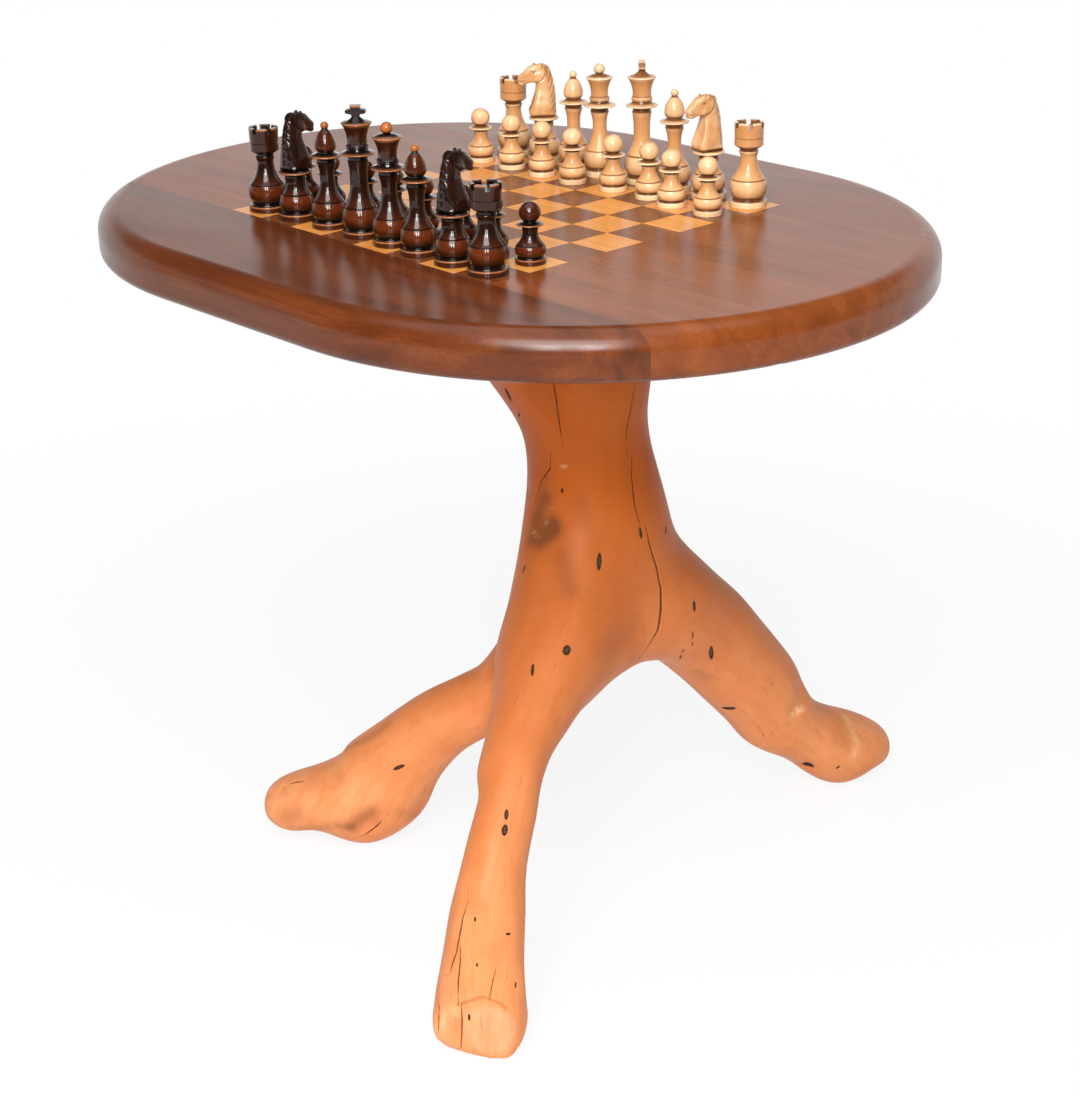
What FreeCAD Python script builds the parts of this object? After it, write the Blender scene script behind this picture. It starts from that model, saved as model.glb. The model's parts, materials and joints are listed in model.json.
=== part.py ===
import FreeCAD, Part
import math
import os

from FreeCAD import Vector

# A games table: a glued three-plank top with an inlaid chessboard, carried by one natural
# three-legged tree fork, with a full set of turned chessmen standing on it.
# The model is drawn over the floor point below the middle of the top, and at the end the
# whole table is set with its origin at the bottom centre of its box. Millimetres, +Z up.

# Table top
TABLE_HEIGHT = 700.0
TOP_LENGTH = 864.0
TOP_WIDTH = 650.0
TOP_THICKNESS = 44.0
TOP_EDGE_ROUND = 20.0
UNDER_EDGE_ROUND = 9.0
EDGE_ROUND_LIMIT_SHARE = 0.48

# Chessboard let into the middle plank
SQUARE_SIDE = 46.0
BOARD_SQUARES = 8
SQUARE_THICKNESS = 6.0

# Dowels across the two glued seams
DOWEL_DIAMETER = 10.0
DOWEL_LENGTH = 80.0
DOWEL_SPACING = 150.0
DOWELS_PER_SEAM = 5
DOWEL_CLEARANCE = 0.1

# Bearers between the trunk and the top, with their screws
BEARER_LENGTH = 480.0
BEARER_WIDTH = 60.0
BEARER_THICKNESS = 28.0
BEARER_SPACING = 112.0
BEARER_END_ROUND = 16.0
TOP_SCREW_DIAMETER = 5.0
TOP_SCREW_HEAD = 10.0
TOP_SCREW_HEAD_DEPTH = 3.0
TOP_SCREW_BITE = 18.0
TOP_SCREW_TIP = 5.0
INNER_SCREW_SPACING = 320.0
OUTER_SCREW_SPACING = 430.0
COACH_DIAMETER = 8.0
COACH_BITE = 70.0
COACH_TIP = 8.0
COACH_HEAD_FLATS = 13.0
COACH_HEAD_HEIGHT = 5.5
COACH_SPACING = 64.0
WASHER_DIAMETER = 24.0
WASHER_THICKNESS = 2.0
COACH_POCKET_DEPTH = 9.0
SCREW_CLEARANCE = 0.1
POCKET_CLEARANCE = 1.0
OVERRUN = 5.0
MEASURING_STEP = 0.1

# Trunk of the fork: it leans from under the top towards the rear right
TRUNK_LEAN = 98.0
TRUNK_LEAN_HEADING = 47.0
TRUNK_TOP_OFFSET = 26.0
TRUNK_WIDTH = 130.0
TRUNK_DEPTH = 118.0
FORK_HEIGHT = 340.0
# Stations of the trunk from the top down: drop between top and crotch, lean, width, depth
TRUNK_SHARES = (
    (0.00, 0.00, 1.68, 1.50),
    (0.107, 0.18, 1.52, 1.40),
    (0.258, 0.46, 1.24, 1.22),
    (0.397, 0.60, 1.03, 1.06),
    (0.505, 0.70, 1.01, 1.04),
    (0.645, 0.87, 1.08, 1.22),
    (0.783, 0.96, 1.17, 1.42),
    (0.88, 0.97, 1.16, 1.42),
    (0.95, 1.00, 0.94, 1.12),
    (1.00, 1.00, 0.44, 0.50),
)
CROTCH_HEIGHT = 250.0
FORK_AXIS_SHARE = 0.82

# Legs: reach from the trunk, heading from the long axis, and full girth
FRONT_LEG_REACH = 372.0
FRONT_LEG_HEADING = -61.1
FRONT_LEG_GIRTH = 92.0
LEFT_LEG_REACH = 361.0
LEFT_LEG_HEADING = -140.5
LEFT_LEG_GIRTH = 110.0
RIGHT_LEG_REACH = 376.0
RIGHT_LEG_HEADING = 75.5
RIGHT_LEG_GIRTH = 106.0
# Stations of a leg: along its reach, height on the fork, height on the girth, width, depth
FRONT_LEG_SHARES = (
    (0.00, 1.02, 0.00, 1.45, 1.45),
    (0.18, 0.93, 0.00, 1.32, 1.34),
    (0.34, 0.83, 0.00, 1.06, 1.14),
    (0.48, 0.755, 0.00, 0.87, 0.95),
    (0.59, 0.705, 0.00, 0.74, 0.80),
    (0.68, 0.640, 0.00, 0.66, 0.70),
    (0.765, 0.568, 0.00, 0.62, 0.66),
    (0.84, 0.488, 0.00, 0.65, 0.66),
    (0.895, 0.400, 0.00, 0.74, 0.70),
    (0.935, 0.296, 0.00, 0.81, 0.71),
    (0.965, 0.188, 0.00, 0.90, 0.70),
    (0.980, 0.000, 0.40, 0.97, 0.82),
    (0.995, 0.000, 0.10, 0.96, 0.90),
    (1.000, 0.000, -0.12, 0.92, 0.90),
)
LEFT_LEG_SHARES = (
    (0.00, 0.88, 0.00, 0.90, 0.78),
    (0.16, 0.69, 0.00, 0.86, 0.74),
    (0.35, 0.464, 0.00, 0.78, 0.74),
    (0.445, 0.415, 0.00, 0.72, 0.68),
    (0.52, 0.347, 0.00, 0.76, 0.74),
    (0.59, 0.000, 0.82, 0.84, 0.90),
    (0.645, 0.000, 0.60, 0.92, 1.00),
    (0.70, 0.000, 0.455, 0.94, 0.97),
    (0.79, 0.000, 0.414, 0.86, 0.74),
    (0.90, 0.000, 0.35, 0.74, 0.56),
    (0.96, 0.000, 0.31, 0.58, 0.43),
    (0.99, 0.000, 0.30, 0.36, 0.26),
    (1.00, 0.000, 0.295, 0.12, 0.10),
)
RIGHT_LEG_SHARES = (
    (0.00, 1.00, 0.00, 1.28, 1.20),
    (0.16, 0.872, 0.00, 1.20, 1.03),
    (0.325, 0.680, 0.00, 1.06, 1.06),
    (0.40, 0.610, 0.00, 0.96, 0.97),
    (0.47, 0.515, 0.00, 0.96, 0.98),
    (0.535, 0.415, 0.00, 0.92, 0.92),
    (0.60, 0.305, 0.00, 0.86, 0.84),
    (0.68, 0.000, 0.73, 0.78, 0.70),
    (0.75, 0.000, 0.545, 0.82, 0.74),
    (0.83, 0.000, 0.372, 0.86, 0.80),
    (0.90, 0.000, 0.344, 0.80, 0.63),
    (0.955, 0.000, 0.292, 0.62, 0.48),
    (0.985, 0.000, 0.28, 0.40, 0.30),
    (1.00, 0.000, 0.275, 0.14, 0.12),
)
RING_POINTS = 12
LOFT_DEGREE = 3
# Sawn face on the front foot
FRONT_SAWN_REACH = 394.0
FRONT_SAWN_TILT = 5.0

# Chessmen
PEG_CLEARANCE = 0.1
PAWN_HEIGHT = 54.0
PAWN_BASE = 27.6
ROOK_HEIGHT = 79.0
ROOK_BASE = 36.0
KNIGHT_BASE_HEIGHT = 46.0
KNIGHT_BASE = 35.0
BISHOP_HEIGHT = 97.0
BISHOP_BASE = 33.0
QUEEN_HEIGHT = 110.0
QUEEN_BASE = 34.0
KING_BODY_HEIGHT = 108.5
KING_BASE = 35.0

# Turned outlines: radius on the base radius, height on the man's height, outward bow of the
# stretch that ends there. The first point stands on the board and the last is on the axis.
PAWN_TURNING_SHARES = (
    (0.97, 0.000, 0.00),
    (1.00, 0.012, 0.20),
    (1.00, 0.076, 0.00),
    (0.96, 0.094, 0.20),
    (0.85, 0.098, 0.00),
    (0.83, 0.106, 0.00),
    (0.83, 0.122, 0.00),
    (0.89, 0.136, 0.00),
    (0.90, 0.298, 0.14),
    (0.86, 0.306, 0.00),
    (0.87, 0.316, 0.00),
    (0.48, 0.520, -0.11),
    (0.54, 0.568, -0.04),
    (0.50, 0.578, 0.00),
    (0.50, 0.596, 0.00),
    (0.81, 0.622, -0.05),
    (0.81, 0.648, 0.45),
    (0.52, 0.672, -0.05),
    (0.44, 0.676, 0.00),
    (0.41, 0.686, 0.00),
    (0.03, 1.000, 0.361),
    (0.00, 1.000, 0.00),
)
ROOK_TURNING_SHARES = (
    (0.97, 0.000, 0.00),
    (1.00, 0.010, 0.20),
    (1.00, 0.058, 0.00),
    (0.96, 0.072, 0.20),
    (0.84, 0.076, 0.00),
    (0.82, 0.084, 0.00),
    (0.82, 0.114, 0.00),
    (0.86, 0.132, 0.00),
    (0.90, 0.318, 0.11),
    (0.87, 0.323, 0.00),
    (0.88, 0.329, 0.00),
    (0.43, 0.600, -0.09),
    (0.50, 0.642, -0.04),
    (0.50, 0.660, 0.20),
    (0.47, 0.666, 0.00),
    (0.47, 0.690, 0.00),
    (0.76, 0.732, 0.05),
    (0.75, 0.818, 0.00),
    (0.73, 0.822, 0.00),
    (0.75, 0.827, 0.00),
    (0.77, 0.990, 0.00),
    (0.75, 1.000, 0.15),
    (0.56, 1.000, 0.00),
    (0.52, 0.936, 0.00),
    (0.00, 0.936, 0.00),
)
KNIGHT_TURNING_SHARES = (
    (0.97, 0.000, 0.00),
    (1.00, 0.018, 0.20),
    (1.00, 0.106, 0.00),
    (0.96, 0.128, 0.20),
    (0.84, 0.134, 0.00),
    (0.82, 0.144, 0.00),
    (0.82, 0.186, 0.00),
    (0.87, 0.210, 0.00),
    (0.78, 0.500, 0.13),
    (0.74, 0.508, 0.00),
    (0.75, 0.522, 0.00),
    (0.54, 0.790, -0.09),
    (0.58, 0.842, -0.04),
    (0.55, 0.852, 0.00),
    (0.55, 0.886, 0.00),
    (0.82, 0.934, -0.04),
    (0.82, 0.976, 0.45),
    (0.72, 1.000, 0.00),
    (0.00, 1.000, 0.00),
)
BISHOP_TURNING_SHARES = (
    (0.97, 0.000, 0.00),
    (1.00, 0.009, 0.20),
    (1.00, 0.048, 0.00),
    (0.96, 0.058, 0.20),
    (0.84, 0.062, 0.00),
    (0.82, 0.068, 0.00),
    (0.82, 0.086, 0.00),
    (0.88, 0.100, 0.00),
    (0.86, 0.246, 0.13),
    (0.82, 0.250, 0.00),
    (0.83, 0.256, 0.00),
    (0.40, 0.480, -0.09),
    (0.55, 0.622, -0.05),
    (0.51, 0.628, 0.00),
    (0.51, 0.648, 0.00),
    (0.83, 0.674, -0.05),
    (0.83, 0.690, 0.45),
    (0.52, 0.708, -0.05),
    (0.45, 0.714, 0.00),
    (0.45, 0.722, 0.00),
    (0.585, 0.792, 0.14),
    (0.18, 0.930, 0.09),
    (0.16, 0.938, 0.00),
    (0.03, 1.000, 0.33),
    (0.00, 1.000, 0.00),
)
QUEEN_TURNING_SHARES = (
    (0.97, 0.000, 0.00),
    (1.00, 0.008, 0.20),
    (1.00, 0.043, 0.00),
    (0.96, 0.052, 0.20),
    (0.84, 0.055, 0.00),
    (0.82, 0.060, 0.00),
    (0.82, 0.077, 0.00),
    (0.88, 0.090, 0.00),
    (0.86, 0.226, 0.13),
    (0.82, 0.230, 0.00),
    (0.83, 0.235, 0.00),
    (0.41, 0.480, -0.08),
    (0.55, 0.576, -0.04),
    (0.51, 0.582, 0.00),
    (0.51, 0.602, 0.00),
    (0.90, 0.624, -0.04),
    (0.90, 0.638, 0.45),
    (0.57, 0.656, -0.05),
    (0.53, 0.672, 0.00),
    (0.57, 0.686, 0.25),
    (0.56, 0.704, 0.25),
    (0.50, 0.714, 0.00),
    (0.74, 0.868, -0.08),
    (0.74, 0.884, 0.40),
    (0.64, 0.888, 0.00),
    (0.24, 0.910, 0.05),
    (0.18, 0.912, 0.00),
    (0.03, 1.000, 0.37),
    (0.00, 1.000, 0.00),
)
KING_TURNING_SHARES = (
    (0.97, 0.000, 0.00),
    (1.00, 0.008, 0.20),
    (1.00, 0.042, 0.00),
    (0.96, 0.052, 0.20),
    (0.84, 0.055, 0.00),
    (0.82, 0.061, 0.00),
    (0.82, 0.078, 0.00),
    (0.88, 0.092, 0.00),
    (0.85, 0.243, 0.12),
    (0.81, 0.247, 0.00),
    (0.82, 0.253, 0.00),
    (0.465, 0.480, -0.08),
    (0.55, 0.640, -0.03),
    (0.51, 0.646, 0.00),
    (0.51, 0.668, 0.00),
    (0.85, 0.688, -0.05),
    (0.85, 0.703, 0.45),
    (0.57, 0.722, -0.05),
    (0.54, 0.738, 0.00),
    (0.57, 0.752, 0.25),
    (0.565, 0.770, 0.25),
    (0.52, 0.778, 0.00),
    (0.76, 0.938, -0.08),
    (0.76, 0.954, 0.40),
    (0.68, 0.958, 0.00),
    (0.46, 0.966, 0.00),
    (0.20, 1.000, -0.04),
    (0.00, 1.000, 0.00),
)

# Battlements of a rook
ROOK_NOTCHES = 6
ROOK_NOTCH_WIDTH = 4.2
ROOK_NOTCH_DEPTH = 5.2

# Carved head of a knight: forward on the reach, height on the head height, bow of the stretch
KNIGHT_HEAD_HEIGHT = 53.5
KNIGHT_HEAD_REACH = 25.8
KNIGHT_NECK_WIDTH = 23.0
KNIGHT_PEG_DIAMETER = 8.0
KNIGHT_PEG_LENGTH = 12.0
KNIGHT_SIDE_SHARES = (
    (-0.40, 0.000, 0.00),
    (0.52, 0.000, 0.00),
    (0.58, 0.060, 0.00),
    (0.58, 0.110, 0.00),
    (0.29, 0.590, -0.05),
    (0.30, 0.630, 0.00),
    (0.52, 0.640, -0.10),
    (0.78, 0.600, -0.05),
    (0.97, 0.660, 0.25),
    (0.96, 0.760, 0.12),
    (0.62, 0.920, -0.05),
    (0.42, 0.962, 0.00),
    (0.36, 1.000, 0.00),
    (0.24, 0.960, 0.00),
    (0.02, 0.985, 0.05),
    (-0.28, 0.860, 0.14),
    (-0.47, 0.440, 0.03),
    (-0.49, 0.050, 0.00),
)
# Half width of the head on half the neck width, against height on the head height
KNIGHT_FRONT_SHARES = (
    (0.88, 0.00),
    (1.00, 0.09),
    (0.96, 0.22),
    (0.64, 0.58),
    (0.60, 0.76),
    (0.50, 1.00),
)

# Cross-shaped top piece of a king: half outline, across on half its width, up on its height
FINIAL_HEIGHT = 10.0
FINIAL_WIDTH = 18.0
FINIAL_THICKNESS = 6.5
FINIAL_PEG_DIAMETER = 3.0
FINIAL_PEG_LENGTH = 8.0
FINIAL_SHARES = (
    (0.38, 0.00, 0.00),
    (0.50, 0.24, -0.08),
    (0.86, 0.28, 0.08),
    (0.86, 0.62, 0.50),
    (0.50, 0.66, 0.08),
    (0.56, 1.00, -0.08),
)

# How each man was set down: name, kind, file from the left end, rank from the front, turn, and
# how far it strays to the rear right of its square's middle, along both sides of the square
BACK_RANK = BOARD_SQUARES - 1
SET_OUT_SHARES = [
    ("dark_rook_1", "rook", 0, 0, 47.0, 0.03),
    ("dark_knight_1", "knight", 1, 0, 88.0, 0.03),
    ("dark_bishop_1", "bishop", 2, 0, 0.0, 0.06),
    ("dark_king", "king", 3, 0, 45.0, 0.07),
    ("dark_queen", "queen", 4, 0, 0.0, 0.04),
    ("dark_bishop_2", "bishop", 5, 0, 0.0, -0.04),
    ("dark_knight_2", "knight", 6, 0, 84.0, -0.03),
    ("dark_rook_2", "rook", 7, 0, 25.0, -0.04),
    ("light_rook_1", "rook", 0, BACK_RANK, 30.0, -0.03),
    ("light_knight_1", "knight", 1, BACK_RANK, 232.0, -0.03),
    ("light_bishop_1", "bishop", 2, BACK_RANK, 0.0, -0.05),
    ("light_queen", "queen", 3, BACK_RANK, 0.0, -0.14),
    ("light_king", "king", 4, BACK_RANK, 137.0, 0.00),
    ("light_bishop_2", "bishop", 5, BACK_RANK, 0.0, -0.02),
    ("light_knight_2", "knight", 6, BACK_RANK, 258.0, -0.03),
    ("light_rook_2", "rook", 7, BACK_RANK, 17.0, 0.03),
]
DARK_PAWN_STRAY_SHARES = (0.02, -0.03, 0.04, 0.00, -0.04, 0.03, -0.02, 0.00)
LIGHT_PAWN_STRAY_SHARES = (-0.03, -0.02, -0.03, -0.05, 0.07, 0.10, -0.08, -0.07)
for file_index in range(BOARD_SQUARES):
    number = file_index + 1
    dark_stray = DARK_PAWN_STRAY_SHARES[file_index % len(DARK_PAWN_STRAY_SHARES)]
    light_stray = LIGHT_PAWN_STRAY_SHARES[file_index % len(LIGHT_PAWN_STRAY_SHARES)]
    SET_OUT_SHARES.append((f"dark_pawn_{number}", "pawn", file_index, 1, 0.0, dark_stray))
    SET_OUT_SHARES.append((f"light_pawn_{number}", "pawn", file_index, BACK_RANK - 1, 0.0, light_stray))

# Heights and places that follow from the sizes above
ORIGIN = Vector(0, 0, 0)
UP = Vector(0, 0, 1)
BOARD_SIDE = SQUARE_SIDE * BOARD_SQUARES
UNDERSIDE = TABLE_HEIGHT - TOP_THICKNESS
TRUNK_TOP = UNDERSIDE - BEARER_THICKNESS
SEAM = BOARD_SIDE / 2


def heading(degrees):
    """Unit vector on the floor, turned from the long axis."""
    return Vector(math.cos(math.radians(degrees)), math.sin(math.radians(degrees)), 0)


LEAN = heading(TRUNK_LEAN_HEADING)
TRUNK_TOP_CENTRE = LEAN * TRUNK_TOP_OFFSET


def box_between(low, high):
    """Box from its lowest corner to its highest."""
    size = high - low
    return Part.makeBox(size.x, size.y, size.z, low)


def bowed_edge(start, end, bow_share, outward):
    """Straight edge, or an arc whose rise is a share of its chord."""
    if bow_share == 0:
        return Part.LineSegment(start, end).toShape()
    middle = (start + end) / 2 + outward * ((end - start).Length * bow_share)
    return Part.Arc(start, middle, end).toShape()


def turned(shares, base, height):
    """Solid of revolution about Z from an outline of shares."""
    points = [Vector(r * base / 2, 0, h * height) for r, h, bow in shares]
    edges = [Part.LineSegment(ORIGIN, points[0]).toShape()]
    for start, end, (r, h, bow) in zip(points, points[1:], shares[1:]):
        along = (end - start).normalize()
        edges.append(bowed_edge(start, end, bow, Vector(along.z, 0, -along.x)))
    edges.append(Part.LineSegment(points[-1], ORIGIN).toShape())
    return Part.Face(Part.Wire(edges)).revolve(ORIGIN, UP, 360)


def bored(solid, diameter, depth, top):
    """The solid with a blind round hole from its top down its axis."""
    drill = Part.makeCylinder(diameter / 2, depth + OVERRUN, Vector(0, 0, top - depth))
    return solid.cut(drill)


# Table top: one racetrack outline, sawn along the grain into three planks

def racetrack():
    """Whole top as one slab with its rounded edge."""
    radius = TOP_WIDTH / 2
    straight = TOP_LENGTH / 2 - radius
    corners = [Vector(x, y, UNDERSIDE) for x, y in (
        (-straight, -radius), (straight, -radius), (straight, radius), (-straight, radius))]
    ends = [Vector(x, 0, UNDERSIDE) for x in (TOP_LENGTH / 2, -TOP_LENGTH / 2)]
    outline = Part.Wire([
        Part.LineSegment(corners[0], corners[1]).toShape(),
        Part.Arc(corners[1], ends[0], corners[2]).toShape(),
        Part.LineSegment(corners[2], corners[3]).toShape(),
        Part.Arc(corners[3], ends[1], corners[0]).toShape(),
    ])
    slab = Part.Face(outline).extrude(UP * TOP_THICKNESS)
    limit = TOP_THICKNESS * EDGE_ROUND_LIMIT_SHARE
    upper = [edge for edge in slab.Edges if edge.BoundBox.ZMin > TABLE_HEIGHT - limit]
    slab = slab.makeFillet(min(TOP_EDGE_ROUND, limit), upper)
    middle = UNDERSIDE + TOP_THICKNESS / 2
    lower = [edge for edge in slab.Edges if edge.BoundBox.ZMax < min(middle, TABLE_HEIGHT - TOP_EDGE_ROUND)]
    return slab.makeFillet(min(UNDER_EDGE_ROUND, limit), lower)


def plank(slab, front, rear):
    """Strip of the slab between two lines along the grain."""
    low = Vector(-TOP_LENGTH, front, UNDERSIDE - OVERRUN)
    high = Vector(TOP_LENGTH, rear, TABLE_HEIGHT + OVERRUN)
    return slab.common(box_between(low, high))


def seam_dowels(seam_y, clearance):
    """Row of dowels across one seam, or their holes when a clearance is given."""
    row = []
    for index in range(DOWELS_PER_SEAM):
        along = (index - (DOWELS_PER_SEAM - 1) / 2) * DOWEL_SPACING
        start = Vector(along, seam_y - DOWEL_LENGTH / 2 - clearance, UNDERSIDE + TOP_THICKNESS / 2)
        length = DOWEL_LENGTH + clearance * 2
        row.append(Part.makeCylinder(DOWEL_DIAMETER / 2 + clearance, length, start, Vector(0, 1, 0)))
    return row


def square_centre(file_index, rank_index):
    """Middle of a board square on the playing face, or a point that strays from it."""
    middle = (BOARD_SQUARES - 1) / 2
    return Vector((file_index - middle) * SQUARE_SIDE, (rank_index - middle) * SQUARE_SIDE, TABLE_HEIGHT)


def board_squares(parity):
    """Inlaid squares of one colour."""
    half = Vector(SQUARE_SIDE / 2, SQUARE_SIDE / 2, 0)
    depth = Vector(0, 0, SQUARE_THICKNESS)
    squares = []
    for file_index in range(BOARD_SQUARES):
        for rank_index in range(BOARD_SQUARES):
            if (file_index + rank_index) % 2 == parity:
                centre = square_centre(file_index, rank_index)
                squares.append(box_between(centre - half - depth, centre + half))
    return squares


# Bearers and screws that hold the top on the trunk

def bearer_places():
    """Middle of each bearer on the trunk's flat top, left then right."""
    middle = TRUNK_TOP_CENTRE + UP * TRUNK_TOP
    return [middle + Vector(side * BEARER_SPACING / 2, 0, 0) for side in (-1, 1)]


def along_bearer(place, spacing):
    """Two points on a bearer's underside, about the middle of the top."""
    return [Vector(place.x, side * spacing / 2, place.z) for side in (-1, 1)]


def coach_places(place):
    """Two coach screw points on a bearer, about the middle of the trunk."""
    return [place + Vector(0, side * COACH_SPACING / 2, 0) for side in (-1, 1)]


def top_screw(place, clearance):
    """Countersunk screw driven up through a bearer, or its hole when a clearance is given."""
    shank = TOP_SCREW_DIAMETER / 2 + clearance
    head = TOP_SCREW_HEAD / 2 + clearance
    tip = BEARER_THICKNESS + TOP_SCREW_BITE + clearance
    points = [Vector(r, 0, h) for r, h in (
        (0, 0), (head, 0), (shank, TOP_SCREW_HEAD_DEPTH), (shank, tip - TOP_SCREW_TIP), (0, tip), (0, 0))]
    solid = Part.Face(Part.makePolygon(points)).revolve(ORIGIN, UP, 360)
    return solid.translated(place)


def coach_seat(place):
    """Floor of a coach screw's pocket in the top of a bearer."""
    return place + UP * (BEARER_THICKNESS - COACH_POCKET_DEPTH)


def coach_washer(place):
    """Flat steel washer on the pocket floor."""
    seat = coach_seat(place)
    disc = Part.makeCylinder(WASHER_DIAMETER / 2, WASHER_THICKNESS, seat)
    return disc.cut(Part.makeCylinder(COACH_DIAMETER / 2 + SCREW_CLEARANCE, WASHER_THICKNESS, seat))


def coach_shank(place, clearance):
    """Shank and point of a coach screw, or its hole when a clearance is given."""
    radius = COACH_DIAMETER / 2 + clearance
    top = coach_seat(place) + UP * WASHER_THICKNESS
    low = place - UP * (COACH_BITE + clearance)
    shank = Part.makeCylinder(radius, top.z - low.z - COACH_TIP, low + UP * COACH_TIP)
    return shank.fuse(Part.makeCone(0, radius, COACH_TIP, low))


def coach_screw(place):
    """Hexagon-headed coach screw."""
    top = coach_seat(place) + UP * WASHER_THICKNESS
    reach = COACH_HEAD_FLATS / 2 / math.cos(math.radians(30))
    corners = [top + heading(60 * turn) * reach for turn in range(7)]
    head = Part.Face(Part.makePolygon(corners)).extrude(UP * COACH_HEAD_HEIGHT)
    return head.fuse(coach_shank(place, 0)).removeSplitter()


def coach_pocket(place):
    """Round pocket for a coach screw's head and washer."""
    radius = WASHER_DIAMETER / 2 + POCKET_CLEARANCE
    return Part.makeCylinder(radius, COACH_POCKET_DEPTH + OVERRUN, coach_seat(place))


def bearer(place):
    """Hardwood bearer with rounded lower ends, before it is drilled."""
    half = Vector(BEARER_WIDTH / 2, BEARER_LENGTH / 2, 0)
    middle = Vector(place.x, 0, place.z)
    block = box_between(middle - half, middle + half + UP * BEARER_THICKNESS)
    lower = [edge for edge in block.Edges if edge.BoundBox.ZMax < middle.z + BEARER_THICKNESS / 2]
    ends = [edge for edge in lower if edge.BoundBox.XLength > BEARER_WIDTH / 2]
    return block.makeFillet(min(BEARER_END_ROUND, BEARER_THICKNESS / 2), ends)


# Three-legged fork: a trunk and three legs grown together

def ring(centre, across, along, width, depth):
    """Closed round section about a centre."""
    points = []
    for index in range(RING_POINTS):
        turn = 2 * math.pi * index / RING_POINTS
        points.append(centre + across * (math.cos(turn) * width / 2) + along * (math.sin(turn) * depth / 2))
    curve = Part.BSplineCurve()
    curve.interpolate(Points=points, PeriodicFlag=True)
    return Part.Wire([curve.toShape()])


def trunk():
    """Leaning trunk, flared under the top and drawn in at the crotch."""
    side = heading(TRUNK_LEAN_HEADING + 90)
    rings = []
    for drop, lean, width, depth in TRUNK_SHARES:
        height = TRUNK_TOP - (TRUNK_TOP - CROTCH_HEIGHT) * drop
        centre = LEAN * (TRUNK_TOP_OFFSET + (TRUNK_LEAN - TRUNK_TOP_OFFSET) * lean) + UP * height
        rings.append(ring(centre, LEAN, side, TRUNK_WIDTH * width, TRUNK_DEPTH * depth))
    return Part.makeLoft(rings, True, False, False, LOFT_DEGREE)


FORK_AXIS = LEAN * (TRUNK_LEAN * FORK_AXIS_SHARE)


def leg(reach, leg_heading, girth, shares):
    """One leg from inside the trunk to its toe."""
    outward = heading(leg_heading)
    side = heading(leg_heading + 90)
    spine = [FORK_AXIS + outward * (reach * along) + UP * (FORK_HEIGHT * fork + girth * lift)
             for along, fork, lift, width, depth in shares]
    rings = []
    for index, (along, fork, lift, width, depth) in enumerate(shares):
        run = spine[min(index + 1, len(spine) - 1)] - spine[max(index - 1, 0)]
        normal = run.normalize().cross(side)
        rings.append(ring(spine[index], side, normal, girth * width, girth * depth))
    return Part.makeLoft(rings, True, False, False, LOFT_DEGREE)


def sawn_off():
    """Block that takes the slanted sawn face off the front toe."""
    outward = heading(FRONT_LEG_HEADING)
    block = Part.makeBox(TOP_LENGTH, TOP_LENGTH, TOP_LENGTH, Vector(0, -TOP_LENGTH / 2, -TOP_LENGTH / 2))
    block.rotate(ORIGIN, Vector(0, 1, 0), -FRONT_SAWN_TILT)
    block.rotate(ORIGIN, UP, FRONT_LEG_HEADING)
    return block.translated(FORK_AXIS + outward * FRONT_SAWN_REACH)


def root_base():
    """Trunk and legs as one natural piece, sawn level above and below, before it is drilled."""
    legs = [
        leg(FRONT_LEG_REACH, FRONT_LEG_HEADING, FRONT_LEG_GIRTH, FRONT_LEG_SHARES),
        leg(LEFT_LEG_REACH, LEFT_LEG_HEADING, LEFT_LEG_GIRTH, LEFT_LEG_SHARES),
        leg(RIGHT_LEG_REACH, RIGHT_LEG_HEADING, RIGHT_LEG_GIRTH, RIGHT_LEG_SHARES),
    ]
    fork = trunk()
    for grown in legs:
        fork = fork.fuse(grown)
    room = Vector(TOP_LENGTH, TOP_LENGTH, 0)
    fork = fork.common(box_between(ORIGIN - room, ORIGIN + room + UP * TRUNK_TOP))
    return fork.cut(sawn_off())


# Chessmen

def rook():
    """Turned rook with its battlements cut."""
    solid = turned(ROOK_TURNING_SHARES, ROOK_BASE, ROOK_HEIGHT)
    low = Vector(0, -ROOK_NOTCH_WIDTH / 2, ROOK_HEIGHT - ROOK_NOTCH_DEPTH)
    high = Vector(ROOK_BASE, ROOK_NOTCH_WIDTH / 2, ROOK_HEIGHT + OVERRUN)
    notches = []
    for index in range(ROOK_NOTCHES):
        notch = box_between(low, high)
        notch.rotate(ORIGIN, UP, 360 * index / ROOK_NOTCHES)
        notches.append(notch)
    return solid.cut(notches)


def knight_base():
    """Turned foot of a knight, bored for the head's peg."""
    solid = turned(KNIGHT_TURNING_SHARES, KNIGHT_BASE, KNIGHT_BASE_HEIGHT)
    diameter = KNIGHT_PEG_DIAMETER + PEG_CLEARANCE * 2
    return bored(solid, diameter, KNIGHT_PEG_LENGTH + PEG_CLEARANCE, KNIGHT_BASE_HEIGHT)


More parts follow.
